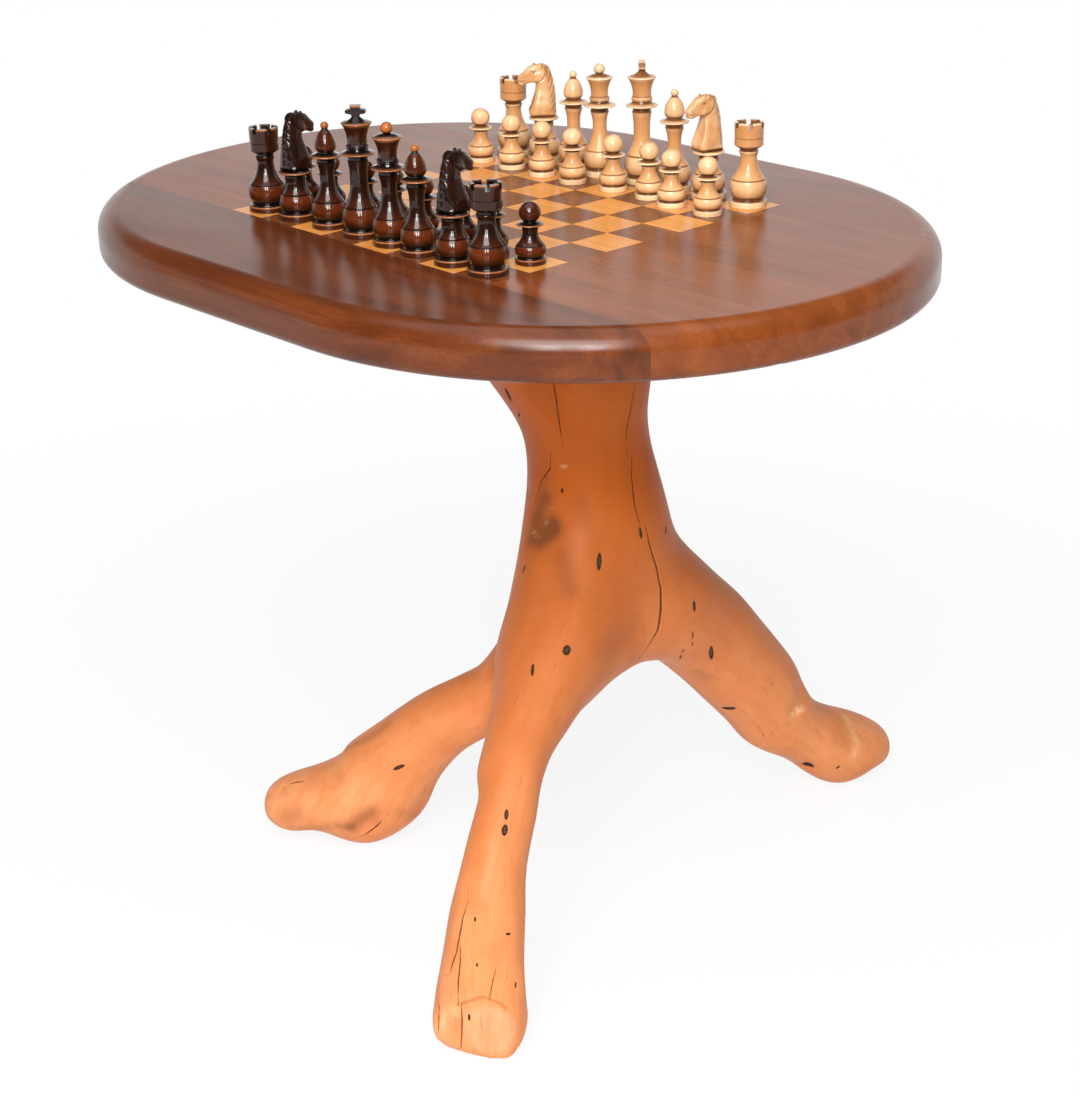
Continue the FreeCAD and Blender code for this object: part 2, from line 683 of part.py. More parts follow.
def knight_head():
    """Carved horse's head: a side view and a front view sawn from one block, on a round peg."""
    seat = UP * KNIGHT_BASE_HEIGHT
    half_width = KNIGHT_NECK_WIDTH / 2
    points = [seat + Vector(x * KNIGHT_HEAD_REACH, -half_width, z * KNIGHT_HEAD_HEIGHT)
              for x, z, bow in KNIGHT_SIDE_SHARES]
    edges = []
    for index, (x, z, bow) in enumerate(KNIGHT_SIDE_SHARES):
        start = points[index - 1]
        end = points[index]
        along = (end - start).normalize()
        edges.append(bowed_edge(start, end, bow, Vector(along.z, 0, -along.x)))
    side_view = Part.Face(Part.Wire(edges)).extrude(Vector(0, KNIGHT_NECK_WIDTH, 0))
    outline = [(half_width * w, KNIGHT_HEAD_HEIGHT * z) for w, z in KNIGHT_FRONT_SHARES]
    outline += [(-across, up) for across, up in reversed(outline)]
    outline.append(outline[0])
    back = Vector(-KNIGHT_HEAD_REACH, 0, 0)
    front_view = Part.Face(Part.makePolygon([seat + back + Vector(0, y, z) for y, z in outline]))
    head = side_view.common(front_view.extrude(back * -2))
    peg = Part.makeCylinder(KNIGHT_PEG_DIAMETER / 2, KNIGHT_PEG_LENGTH, seat - UP * KNIGHT_PEG_LENGTH)
    return head.fuse(peg).removeSplitter()


def king_body():
    """Turned king, bored for its top piece."""
    solid = turned(KING_TURNING_SHARES, KING_BASE, KING_BODY_HEIGHT)
    diameter = FINIAL_PEG_DIAMETER + PEG_CLEARANCE * 2
    return bored(solid, diameter, FINIAL_PEG_LENGTH + PEG_CLEARANCE, KING_BODY_HEIGHT)


def king_finial():
    """Flat cross on a round peg."""
    seat = UP * KING_BODY_HEIGHT
    half = [(x * FINIAL_WIDTH / 2, z * FINIAL_HEIGHT, bow) for x, z, bow in FINIAL_SHARES]
    edges = []
    for mirror in (1, -1):
        points = [seat + Vector(mirror * x, -FINIAL_THICKNESS / 2, z) for x, z, bow in half]
        for start, end, (x, z, bow) in zip(points, points[1:], half[1:]):
            along = (end - start).normalize()
            edges.append(bowed_edge(start, end, bow, Vector(along.z, 0, -along.x) * mirror))
    for x, z, bow in (half[0], half[-1]):
        ends = [seat + Vector(mirror * x, -FINIAL_THICKNESS / 2, z) for mirror in (-1, 1)]
        edges.append(Part.LineSegment(ends[0], ends[1]).toShape())
    outline = Part.Wire(Part.__sortEdges__(edges))
    cross = Part.Face(outline).extrude(Vector(0, FINIAL_THICKNESS, 0))
    peg = Part.makeCylinder(FINIAL_PEG_DIAMETER / 2, FINIAL_PEG_LENGTH, seat - UP * FINIAL_PEG_LENGTH)
    return cross.fuse(peg).removeSplitter()


MEN = {
    "pawn": [("", turned(PAWN_TURNING_SHARES, PAWN_BASE, PAWN_HEIGHT))],
    "rook": [("", rook())],
    "knight": [("_base", knight_base()), ("_head", knight_head())],
    "bishop": [("", turned(BISHOP_TURNING_SHARES, BISHOP_BASE, BISHOP_HEIGHT))],
    "queen": [("", turned(QUEEN_TURNING_SHARES, QUEEN_BASE, QUEEN_HEIGHT))],
    "king": [("_body", king_body()), ("_finial", king_finial())],
}

# All pieces by name
pieces = {}
slab = racetrack()
board_half = Vector(SEAM, SEAM, 0)
board_middle = Vector(0, 0, TABLE_HEIGHT)
recess_low = board_middle - board_half - UP * SQUARE_THICKNESS
recess = box_between(recess_low, board_middle + board_half + UP * OVERRUN)
dowel_holes = seam_dowels(-SEAM, DOWEL_CLEARANCE) + seam_dowels(SEAM, DOWEL_CLEARANCE)
screw_spots = []
coach_spots = []
for place in bearer_places():
    screw_spots += along_bearer(place, INNER_SCREW_SPACING) + along_bearer(place, OUTER_SCREW_SPACING)
    coach_spots += coach_places(place)
screw_holes = [top_screw(spot, SCREW_CLEARANCE) for spot in screw_spots]
coach_holes = [coach_shank(spot, SCREW_CLEARANCE) for spot in coach_spots]
coach_pockets = [coach_pocket(spot) for spot in coach_spots]

pieces["root_base"] = root_base().cut(coach_holes)
for name, place in zip(("left_bearer", "right_bearer"), bearer_places()):
    pieces[name] = bearer(place).cut(screw_holes + coach_holes + coach_pockets)
pieces["coach_screws"] = Part.Compound([coach_screw(spot) for spot in coach_spots])
pieces["coach_washers"] = Part.Compound([coach_washer(spot) for spot in coach_spots])
pieces["top_screws"] = Part.Compound([top_screw(spot, 0) for spot in screw_spots])
pieces["front_plank"] = plank(slab, -TOP_WIDTH, -SEAM).cut(dowel_holes + screw_holes)
pieces["centre_plank"] = plank(slab, -SEAM, SEAM).cut(dowel_holes + screw_holes + [recess])
pieces["rear_plank"] = plank(slab, SEAM, TOP_WIDTH).cut(dowel_holes + screw_holes)
pieces["front_seam_dowels"] = Part.Compound(seam_dowels(-SEAM, 0))
pieces["rear_seam_dowels"] = Part.Compound(seam_dowels(SEAM, 0))
pieces["light_squares"] = Part.Compound(board_squares(0))
pieces["dark_squares"] = Part.Compound(board_squares(1))
for name, kind, file_index, rank_index, turn, stray in SET_OUT_SHARES:
    for suffix, shape in MEN[kind]:
        man = shape.copy()
        man.rotate(ORIGIN, UP, turn)
        pieces[name + suffix] = man.translated(square_centre(file_index + stray, rank_index + stray))

# Origin at the bottom centre of the whole table's box, measured on a fine mesh: it stands at zero
corners = [point for shape in pieces.values() for point in shape.tessellate(MEASURING_STEP)[0]]
middle_x = (max(point.x for point in corners) + min(point.x for point in corners)) / 2
middle_y = (max(point.y for point in corners) + min(point.y for point in corners)) / 2
shift = Vector(-middle_x, -middle_y, 0)
os.makedirs("parts", exist_ok=True)
for name, shape in pieces.items():
    shape.translated(shift).exportStep(f"parts/{name}.step")
    print(name, len(shape.Solids), shape.isValid(), round(shape.Volume))
print("shift", shift)
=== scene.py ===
import json
import math

import bmesh
import bpy
import numpy as np
from mathutils import Matrix, Vector, kdtree, noise
from mathutils.bvhtree import BVHTree


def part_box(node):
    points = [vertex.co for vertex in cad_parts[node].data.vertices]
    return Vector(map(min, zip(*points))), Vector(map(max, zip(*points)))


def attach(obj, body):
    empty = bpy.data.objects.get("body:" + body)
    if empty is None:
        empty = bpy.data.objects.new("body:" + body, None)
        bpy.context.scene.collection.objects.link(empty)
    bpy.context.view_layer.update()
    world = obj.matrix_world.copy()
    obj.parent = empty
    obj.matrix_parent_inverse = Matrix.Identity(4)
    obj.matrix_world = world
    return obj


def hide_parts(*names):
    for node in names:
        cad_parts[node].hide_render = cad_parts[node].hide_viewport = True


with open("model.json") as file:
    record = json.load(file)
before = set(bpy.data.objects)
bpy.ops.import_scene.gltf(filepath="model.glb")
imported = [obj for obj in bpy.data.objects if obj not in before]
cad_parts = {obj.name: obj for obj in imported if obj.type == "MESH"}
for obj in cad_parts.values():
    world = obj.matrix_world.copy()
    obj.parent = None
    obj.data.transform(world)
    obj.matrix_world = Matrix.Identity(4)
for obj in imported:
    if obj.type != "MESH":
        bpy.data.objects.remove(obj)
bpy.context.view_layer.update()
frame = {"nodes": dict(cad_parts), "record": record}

# Viewpoint: a long lens at the front right corner, a little above the men, as in the
# photograph. The photograph's pixels also place the marks that show on the fork.
PHOTO_WIDTH = 1080
PHOTO_HEIGHT = 1113
PHOTO_FOCAL = 2224.0
SENSOR = 36.0
CAMERA_FROM_TOP = Vector((1.5478, -1.3766, 0.5205))
CAMERA_YAW = math.radians(137.62)
CAMERA_PITCH = math.radians(23.048)
CAMERA_ROLL = math.radians(-1.162)


def new_object(name, data):
    """An object with its data, put into the scene."""
    piece = bpy.data.objects.new(name, data)
    bpy.context.scene.collection.objects.link(piece)
    return piece


def top_middle(name):
    """Middle of the upper face of a piece's box."""
    low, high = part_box(name)
    return Vector(((low.x + high.x) / 2, (low.y + high.y) / 2, high.z))


top_centre = top_middle("centre_plank")
camera_spot = top_centre + CAMERA_FROM_TOP
level_ahead = Vector((math.cos(CAMERA_YAW), math.sin(CAMERA_YAW), 0))
ahead = level_ahead * math.cos(CAMERA_PITCH) - Vector((0, 0, math.sin(CAMERA_PITCH)))
level_right = ahead.cross(Vector((0, 0, 1))).normalized()
roll = Matrix.Rotation(CAMERA_ROLL, 3, -ahead)
camera_right = roll @ level_right
camera_up = roll @ level_right.cross(ahead)
camera_turn = Matrix((camera_right, camera_up, -ahead)).transposed()
camera = new_object("camera", bpy.data.cameras.new("camera"))
camera.data.sensor_width = SENSOR
camera.data.lens = SENSOR * PHOTO_FOCAL / max(PHOTO_WIDTH, PHOTO_HEIGHT)
camera.matrix_world = Matrix.Translation(camera_spot) @ camera_turn.to_4x4()
bpy.context.scene.camera = camera


# Fork: one natural piece of honey-coloured wood, a trunk that splits into three legs. It is
# stripped of bark, smoothed and lacquered, with its knots, drying cracks and scuffs left as they grew.
# Painted light is laid into its colour too: paler wood low on the legs, painted shade on the left foot and
# along the sawn lip, and a painted sheen on the right foot's edges.
FORK_VOXEL = 0.0040
FORK_CENTRE_FROM_TOP = Vector((0.055, 0.059, -0.38))
GROWTH_REACH = 0.31
GROWTH_FADE = 0.15
GROWTH_PASSES = 10
GROWTH_STEP = 0.02
GROWTH_EVENING = 0.6
HEAD_CUT = 0.56
LEG_CUTS = (0.20, 0.17, 0.16)
BALL_REACH = 0.27
BALL_DETAIL = 3
LIMB_BLEND = 0.020
LIMB_STEPS = 5
LIMB_FAR = 0.4
SURFACE_PASSES = 6
WAVE_HEIGHT = 0.0016
WAVE_SPACING = 0.06
WAVE_FADE = 0.03
GRAIN_REACH = 0.045
GRAIN_STEP = 3
MARK_REACHES = (0.0054, 0.0027, 0.0018)
MARK_STEP = 0.0015
CRACK_DEPTH = 0.0012
CRACK_EDGE = 1.8
CRACK_ENDS = 0.35
CRACK_TAPER = 0.7
CRACK_WOBBLE = 0.0003
WOBBLE_FINENESS = 220
KNOT_DEPTH = 0.0014
LIP_DEPTH = 0.0012
LIP_EDGE = 1.3
END_GRAIN_FADE = 0.009
# Heights between which the paler wood of the lower legs, painted light for their strongly lit faces, gives
# way to the deeper tone of the trunk
PAINTED_LIGHT_BELOW = 0.08
DEEP_ABOVE = 0.44
SOLE_RISE = 0.013
SOLE_HEIGHT = 0.04
SOLE_HALF_WIDTH = 0.043
SOLE_REACH = 0.075
SOLE_WIDEST = 1.1

# Limbs that grow into one another at the fork: heading, how far out from below the middle of the
# top they start and on what heading, then stations: out, up, radius
FORK_LIMBS = (
    (47, 0.0, 0, ((0.034, 0.640, 0.108), (0.047, 0.598, 0.094), (0.062, 0.548, 0.077), (0.071, 0.500, 0.062),
                  (0.077, 0.455, 0.054), (0.083, 0.410, 0.052), (0.086, 0.365, 0.050), (0.086, 0.325, 0.043),
                  (0.086, 0.300, 0.034))),
    (-61.1, 0.0734, 46.9, ((0.008, 0.430, 0.030), (0.026, 0.382, 0.042), (0.058, 0.330, 0.051),
                           (0.108, 0.288, 0.048), (0.160, 0.260, 0.041), (0.215, 0.240, 0.0330),
                           (0.255, 0.216, 0.0305), (0.285, 0.193, 0.0295), (0.312, 0.166, 0.030),
                           (0.333, 0.136, 0.033))),
    (75.5, 0.0804, 47, ((0.004, 0.430, 0.030), (0.019, 0.384, 0.041), (0.050, 0.328, 0.0375),
                        (0.094, 0.272, 0.0435), (0.135, 0.222, 0.0500), (0.168, 0.184, 0.051),
                        (0.201, 0.141, 0.049), (0.226, 0.104, 0.045))),
    (-140.5, 0.0804, 47, ((-0.006, 0.350, 0.034), (0.026, 0.296, 0.034), (0.062, 0.232, 0.034),
                          (0.096, 0.186, 0.034), (0.126, 0.165, 0.035), (0.161, 0.143, 0.037),
                          (0.188, 0.118, 0.041), (0.213, 0.090, 0.048))),
)
# Web of wood between the front and the right leg: how far in front of the fork, radius, pixel
FORK_WEB = (
    (0.080, 0.042, (550, 668)),
    (0.052, 0.043, (588, 638)),
    (0.026, 0.043, (627, 617)),
    (-0.002, 0.043, (664, 612)),
    (-0.040, 0.029, (694, 624)),
)
# Drying cracks that the photograph shows: width, darkness, then the pixels they run through
FORK_CRACKS = (
    (0.0012, 0.80, (632, 455), (632, 478), (635, 506), (641, 527)),
    (0.0019, 1.00, (646, 527), (650, 546), (657, 568), (661, 588), (661, 612), (658, 630), (649, 645),
     (639, 659)),
    (0.0010, 0.70, (553, 380), (556, 399), (560, 429), (563, 447)),
    (0.0011, 0.75, (636, 379), (631, 408), (627, 429), (627, 456)),
    (0.0011, 0.75, (550, 452), (550, 468), (540, 483), (534, 506)),
    (0.0007, 0.50, (510, 608), (505, 628)),
    (0.0008, 0.60, (750, 733), (759, 749)),
    (0.0006, 0.50, (762, 732), (769, 744)),
    (0.0006, 0.50, (776, 748), (776, 757)),
    (0.0005, 0.45, (758, 725), (762, 733), (766, 740)),
    (0.0007, 0.50, (807, 744), (807, 759)),
    (0.0006, 0.40, (684, 664), (692, 666), (697, 661)),
    (0.0016, 0.80, (289, 784), (296, 782), (304, 781)),
    (0.0008, 0.45, (288, 784), (284, 789), (280, 797)),
    (0.0012, 0.80, (359, 837), (368, 833), (376, 827), (389, 814)),
    (0.0009, 0.60, (414, 817), (431, 790)),
    (0.0013, 0.75, (468, 901), (463, 916), (460, 932), (456, 953), (451, 967), (449, 976)),
    (0.0006, 0.40, (472, 872), (468, 892), (467, 904)),
    (0.0012, 0.75, (460, 945), (460, 962), (458, 982), (458, 1006)),
    (0.0010, 0.80, (461, 1005), (462, 1021), (461, 1048)),
    (0.0012, 0.75, (437, 996), (439, 1008), (438, 1034)),
    (0.0009, 0.70, (496, 968), (492, 986), (489, 1001)),
    (0.0006, 0.45, (509, 957), (507, 979), (500, 988)),
    (0.0005, 0.45, (481, 1012), (481, 1024), (484, 1038)),
    (0.0006, 0.45, (443, 974), (448, 976)),
)
# Knots, holes and specks: width, then the two ends of their long axis in pixels
FORK_KNOTS = (
    (0.0046, (505, 388), (511, 401)),
    (0.0032, (562, 488), (562, 493)),
    (0.0050, (600, 552), (599, 571)),
    (0.0038, (640, 527), (642, 539)),
    (0.0032, (666, 525), (666, 534)),
    (0.0032, (525, 565), (522, 573)),
    (0.0080, (569, 645), (565, 655)),
    (0.0032, (533, 663), (532, 676)),
    (0.0042, (694, 600), (695, 612)),
    (0.0054, (711, 646), (712, 660)),
    (0.0064, (721, 708), (736, 708)),
    (0.0038, (507, 809), (506, 820)),
    (0.0056, (506, 824), (504, 836)),
    (0.0042, (393, 770), (405, 765)),
    (0.0025, (469, 1014), (469, 1021)),
    (0.0028, (836, 769), (840, 766)),
    (0.0070, (802, 764), (814, 767)),
    (0.0020, (693, 631), (693, 639)),
    (0.0020, (693, 642), (692, 646)),
    (0.0020, (684, 649), (682, 653)),
    (0.0020, (681, 655), (680, 659)),
    (0.0022, (519, 413), (519, 417)),
    (0.0022, (603, 380), (603, 383)),
    (0.0020, (475, 917), (475, 922)),
    (0.0018, (477, 963), (477, 967)),
    (0.0024, (516, 982), (516, 988)),
    (0.0024, (506, 934), (511, 934)),
)
# Knots on the sides that the photograph doesn't show: width, then heading and height of two ends
HIDDEN_KNOTS = (
    (0.0050, (60, 0.470), (60, 0.486)),
    (0.0036, (95, 0.402), (96, 0.412)),
    (0.0060, (120, 0.300), (121, 0.318)),
    (0.0040, (160, 0.448), (160, 0.458)),
    (0.0034, (185, 0.352), (186, 0.363)),
    (0.0052, (205, 0.505), (206, 0.520)),
    (0.0036, (240, 0.410), (240, 0.420)),
)
HIDDEN_CRACKS = (
    (0.0010, 0.8, (80, 0.585), (82, 0.530), (79, 0.470), (84, 0.420), (82, 0.380)),
    (0.0008, 0.6, (150, 0.560), (152, 0.510), (149, 0.455)),
    (0.0010, 0.7, (190, 0.450), (193, 0.395), (189, 0.340), (194, 0.300)),
)
# Sawn lip round the end of the front foot, with a darker line of painted shade under its step, and the
# middle of its end grain with the radius
FORK_LIP = (0.0036, (461, 1005), (466, 1003), (472, 1001), (478, 998.6), (483, 998), (488, 999.5),
            (494, 1002), (500, 1004), (507, 1009))
FORK_END_GRAIN = (0.029, (489, 1030))
# Brown stains and pale scuffs, with painted shade and a painted sheen among them: radius, strength, then the
# pixels they run through
FORK_STAINS_AND_SHADE = (
    (0.010, 1.00, (534, 538), (541, 541), (553, 531)),
    (0.008, 0.95, (535, 520), (541, 505), (546, 498)),
    (0.010, 0.70, (538, 528), (552, 523)),
    (0.005, 0.35, (541, 495), (547, 478)),
    (0.010, 0.45, (562, 556), (566, 577), (570, 590)),
    (0.008, 0.25, (580, 500), (583, 522)),
    (0.008, 0.75, (352, 826), (362, 818), (372, 812)),
    # painted shade under the left foot's lower edge
    (0.005, 0.50, (338, 826), (352, 828)),
    (0.009, 0.35, (286, 818), (297, 813)),
    # painted shade under the left foot's lower edge
    (0.006, 0.30, (304, 829), (330, 827)),
    # painted shade along the left foot's upper edge, above its fold and in its side fold
    (0.006, 0.50, (346, 749), (360, 742), (376, 734), (388, 724)),
    (0.007, 0.25, (400, 812), (416, 817)),
    (0.007, 0.25, (424, 790), (430, 806)),
    (0.014, 0.25, (838, 722), (846, 742)),
    (0.008, 0.25, (815, 704), (826, 708)),
    (0.014, 0.30, (604, 650), (628, 634)),
    (0.008, 0.35, (698, 672), (708, 678)),
    (0.010, 0.25, (455, 900), (447, 940), (440, 970), (438, 1000)),
    (0.008, 0.20, (519, 870), (518, 920), (520, 960)),
)
FORK_SCUFFS_AND_SHEEN = (
    (0.003, 0.75, (790, 717), (799, 712), (803, 708)),
    (0.002, 0.70, (792, 714), (797, 708)),
    # painted sheen along the right foot's outer and upper edges
    (0.006, 0.45, (834, 704), (846, 718), (854, 735), (855, 754)),
    (0.005, 0.35, (806, 697), (820, 699), (838, 703)),
    (0.0009, 0.50, (559, 464), (565, 467)),
    (0.0009, 0.35, (552, 507), (549, 519), (543, 528)),
    (0.0009, 0.35, (532, 530), (537, 538), (541, 536)),
    (0.006, 0.35, (440, 1030), (448, 1014), (455, 1010)),
)
# Hollows and swellings of the growth: radius, lift, pixel
FORK_SWELLS = (
    (0.020, -0.003, (541, 530)),
    (0.013, -0.005, (803, 692)),
    (0.012, -0.004, (797, 712)),
    (0.009, -0.006, (807, 767)),
    (0.008, -0.0025, (282, 790)),
    (0.010, -0.004, (372, 826)),
    (0.011, -0.003, (420, 806)),
)


def photo_ray(pixel):
    """Line of sight through a pixel of the photograph."""
    across = (pixel[0] - PHOTO_WIDTH / 2) / PHOTO_FOCAL
    down = (pixel[1] - PHOTO_HEIGHT / 2) / PHOTO_FOCAL
    return camera_spot, (camera_turn @ Vector((across, -down, -1))).normalized()


def side_ray(place):
    """Level line towards the trunk, from a heading in degrees, at a height."""
    turn = math.radians(place[0])
    outward = Vector((math.cos(turn), math.sin(turn), 0))
    return Vector((fork_centre.x, fork_centre.y, place[1])) + outward, -outward


def struck(ray, places):
    """Points of the fork that the rays through some places reach."""
    hits = [fork_tree.ray_cast(*ray(place))[0] for place in places]
    return [hit for hit in hits if hit is not None]


def smooth_step(value):
    """Soft rise from 0 to 1."""
    value = np.clip(value, 0, 1)
    return value * value * (3 - 2 * value)


def bell(away, reach):
    """Soft fall from 1, with the distance."""
    return np.exp(-(away / reach) ** 2)


def off_path(spots, path):
    """Distance of each spot from a line of points, and how far along the line it lies."""
    nearest = np.full(len(spots), np.inf)
    reached = np.zeros(len(spots))
    for index, (start, end) in enumerate(zip(path, path[1:])):
        start = np.array(start)
        run = np.array(end) - start
        share = np.clip((spots - start) @ run / max(run @ run, 1e-12), 0, 1)
        away = np.linalg.norm(spots - start - share[:, None] * run, axis=1)
        reached = np.where(away < nearest, (index + share) / (len(path) - 1), reached)
        nearest = np.minimum(nearest, away)
    return nearest, reached


def in_knot(spots, ends, width):
    """How deep each spot lies in a pointed oval between two ends, from 0 to 1."""
    start = np.array(ends[0])
    half = (np.array(ends[-1]) - start) / 2
    middle = start + half
    length = max(np.linalg.norm(half), width / 2)
    along = half / max(np.linalg.norm(half), 1e-9)
    reach = (spots - middle) @ along
    aside = np.linalg.norm(spots - middle - reach[:, None] * along, axis=1)
    return smooth_step(1.4 * (1.2 - np.hypot(reach / length, aside / (width / 2))))


def limb_stations(heading, start, start_heading, stations):
    """Points and radii of one limb's stations."""
    turn, start_turn = math.radians(heading), math.radians(start_heading)
    start_x = top_centre.x + start * math.cos(start_turn)
    start_y = top_centre.y + start * math.sin(start_turn)
    return [(start_x + out * math.cos(turn), start_y + out * math.sin(turn), up, radius)
            for out, up, radius in stations]


def web_station(forward, radius, pixel):
    """Point and radius of a station of the web, on the line of sight through a pixel."""
    spot, line = photo_ray(pixel)
    reach = ((fork_centre - spot).dot(level_ahead) - forward) / line.dot(level_ahead)
    return (*(spot + line * reach), radius)


def limb_line(stations):
    """Points and radii along one limb, on a smooth curve through its stations."""
    rows = np.array(stations)
    rows = np.vstack([rows[:1], rows, rows[-1:]])
    line = []
    for before, here, there, after in zip(rows, rows[1:], rows[2:], rows[3:]):
        for share in np.arange(LIMB_STEPS) / LIMB_STEPS:
            line.append((2 * here + (there - before) * share
                         + (2 * before - 5 * here + 4 * there - after) * share ** 2
                         + (3 * here - before - 3 * there + after) * share ** 3) / 2)
    return np.array(line + [rows[-1]])


def off_limbs(spots):
    """Distance of spots outside the limbs grown together, and the direction outwards."""
    total = np.zeros(len(spots))
    outward = np.zeros(spots.shape)
    for line in limb_lines:
        nearest = np.full(len(spots), np.inf)
        direction = np.zeros(spots.shape)
        for here, there in zip(line, line[1:]):
            run = there[:3] - here[:3]
            share = np.clip((spots - here[:3]) @ run / (run @ run), 0, 1)
            offset = spots - here[:3] - share[:, None] * run
            length = np.linalg.norm(offset, axis=1)
            away = length - here[3] - share * (there[3] - here[3])
            closer = away < nearest
            nearest = np.where(closer, away, nearest)
            direction = np.where(closer[:, None], offset / length[:, None], direction)
        weight = np.exp(-np.clip(nearest, -LIMB_FAR, LIMB_FAR) / LIMB_BLEND)
        total += weight
        outward += weight[:, None] * direction
    return -LIMB_BLEND * np.log(total), outward / total[:, None]


def rebuilt(piece, voxel):
    """A piece's mesh made anew, as one closed skin of small faces."""
    remesh = piece.modifiers.new("remesh", "REMESH")
    remesh.mode = "VOXEL"
    remesh.voxel_size = voxel
    mesh = bpy.data.meshes.new_from_object(piece.evaluated_get(bpy.context.evaluated_depsgraph_get()))
    piece.modifiers.clear()
    return mesh


def vertex_rows(mesh, what):
    """Places or normals of a mesh's vertices, one row each."""
    rows = np.zeros(len(mesh.vertices) * 3)
    mesh.vertices.foreach_get(what, rows)
    return rows.reshape(-1, 3)


fork_centre = top_centre + FORK_CENTRE_FROM_TOP
fork_low, fork_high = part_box("root_base")
fork = new_object("fork", frame["nodes"]["root_base"].data.copy())
shape = bmesh.new()
shape.from_mesh(fork.data)
bmesh.ops.remove_doubles(shape, verts=shape.verts, dist=FORK_VOXEL / 100)

# The head and the feet are kept from the copy, and balls along the limbs fill the fork between them
limb_lines = [limb_line(limb_stations(*limb)) for limb in FORK_LIMBS]
limb_lines.append(limb_line([web_station(*station) for station in FORK_WEB]))
cuts = [(Vector((0, 0, HEAD_CUT)), Vector((0, 0, 1)))]
for limb, out in zip(FORK_LIMBS[1:], LEG_CUTS):
    outward = Vector((math.cos(math.radians(limb[0])), math.sin(math.radians(limb[0])), 0))
    cuts.append((Vector(limb_stations(*limb[:3], ((out, 0, 0),))[0][:3]), outward))
whole = bmesh.new()
for spot, outward in cuts:
    piece = shape.copy()
    cut = bmesh.ops.bisect_plane(piece, geom=piece.verts[:] + piece.edges[:] + piece.faces[:],
                                 plane_co=spot, plane_no=outward, clear_inner=True)
    rim = [part for part in cut["geom_cut"] if isinstance(part, bmesh.types.BMEdge)]
    bmesh.ops.holes_fill(piece, edges=rim)
    piece.to_mesh(fork.data)
    piece.free()
    whole.from_mesh(fork.data)
for line in limb_lines:
    for *spot, radius in line:
        if (Vector(spot) - fork_centre).length < BALL_REACH:
            bmesh.ops.create_icosphere(whole, subdivisions=BALL_DETAIL, radius=radius,
                                       matrix=Matrix.Translation(spot))
whole.to_mesh(fork.data)
whole.free()
fork_mesh = rebuilt(fork, FORK_VOXEL)
fork.data = fork_mesh
count = len(fork_mesh.vertices)
spots = vertex_rows(fork_mesh, "co")
ends = np.zeros(len(fork_mesh.edges) * 2, dtype=np.int64)
fork_mesh.edges.foreach_get("vertices", ends)
first, second = ends.reshape(-1, 2).T
neighbours = np.bincount(ends, minlength=count)[:, None]


def neighbour_mean():
    """Middle of the neighbours of each vertex of the fork."""
    rows = [np.bincount(first, spots[second, axis], count) + np.bincount(second, spots[first, axis], count)
            for axis in range(3)]
    return np.stack(rows, axis=1) / neighbours


def surface_normals():
    """Normals of the fork's vertices where they now stand."""
    fork_mesh.vertices.foreach_set("co", spots.ravel())
    fork_mesh.update()
    return vertex_rows(fork_mesh, "normal")


# Near the fork the surface is drawn to the limbs grown together, and further off it stays as it is
for turn in range(SURFACE_PASSES):
    spots += (neighbour_mean() - spots) / 2
near = smooth_step((GROWTH_REACH - np.linalg.norm(spots - np.array(fork_centre), axis=1)) / GROWTH_FADE)
zone = near > 0
for turn in range(GROWTH_PASSES):
    away, outward = off_limbs(spots[zone])
    outward_length = np.sum(outward * outward, axis=1)
    step = np.clip(away / outward_length, -GROWTH_STEP, GROWTH_STEP)
    spots[zone] -= outward * (step * near[zone])[:, None]
    normal = outward / np.sqrt(outward_length)[:, None]
    pull = neighbour_mean()[zone] - spots[zone]
    pull -= np.sum(pull * normal, axis=1)[:, None] * normal
    spots[zone] += pull * (near[zone] * GROWTH_EVENING)[:, None]
for turn in range(SURFACE_PASSES):
    spots += (neighbour_mean() - spots) / 2
normals = surface_normals()
waves = np.array([noise.noise(Vector(spot) / WAVE_SPACING) for spot in spots])
ends_fade = smooth_step(spots[:, 2] / WAVE_FADE) * smooth_step((fork_high.z - spots[:, 2]) / WAVE_FADE)
spots += normals * (waves * ends_fade * WAVE_HEIGHT)[:, None]

# The front foot is rounded up at both sides of its sole
mounts = {mount["name"]: mount["pos_m"] for mount in frame["record"]["mounts"]}
front_sole = mounts["front_foot_sole"]
aside = np.abs((spots - np.array(front_sole)) @ np.array(level_right)) / SOLE_HALF_WIDTH
beside = np.linalg.norm((spots - np.array(front_sole))[:, :2], axis=1) < SOLE_REACH
low = np.clip(1 - spots[:, 2] / SOLE_HEIGHT, 0, 1) * beside
spots[:, 2] += SOLE_RISE * low * np.clip(aside, 0, SOLE_WIDEST) ** 3
surface_normals()
shape.clear()
shape.from_mesh(fork_mesh)


def soften(shape, verts, passes):
    """Even out some vertices of a shape."""
    for turn in range(passes):
        bmesh.ops.smooth_vert(shape, verts=verts, factor=0.5,
                              use_axis_x=True, use_axis_y=True, use_axis_z=True)


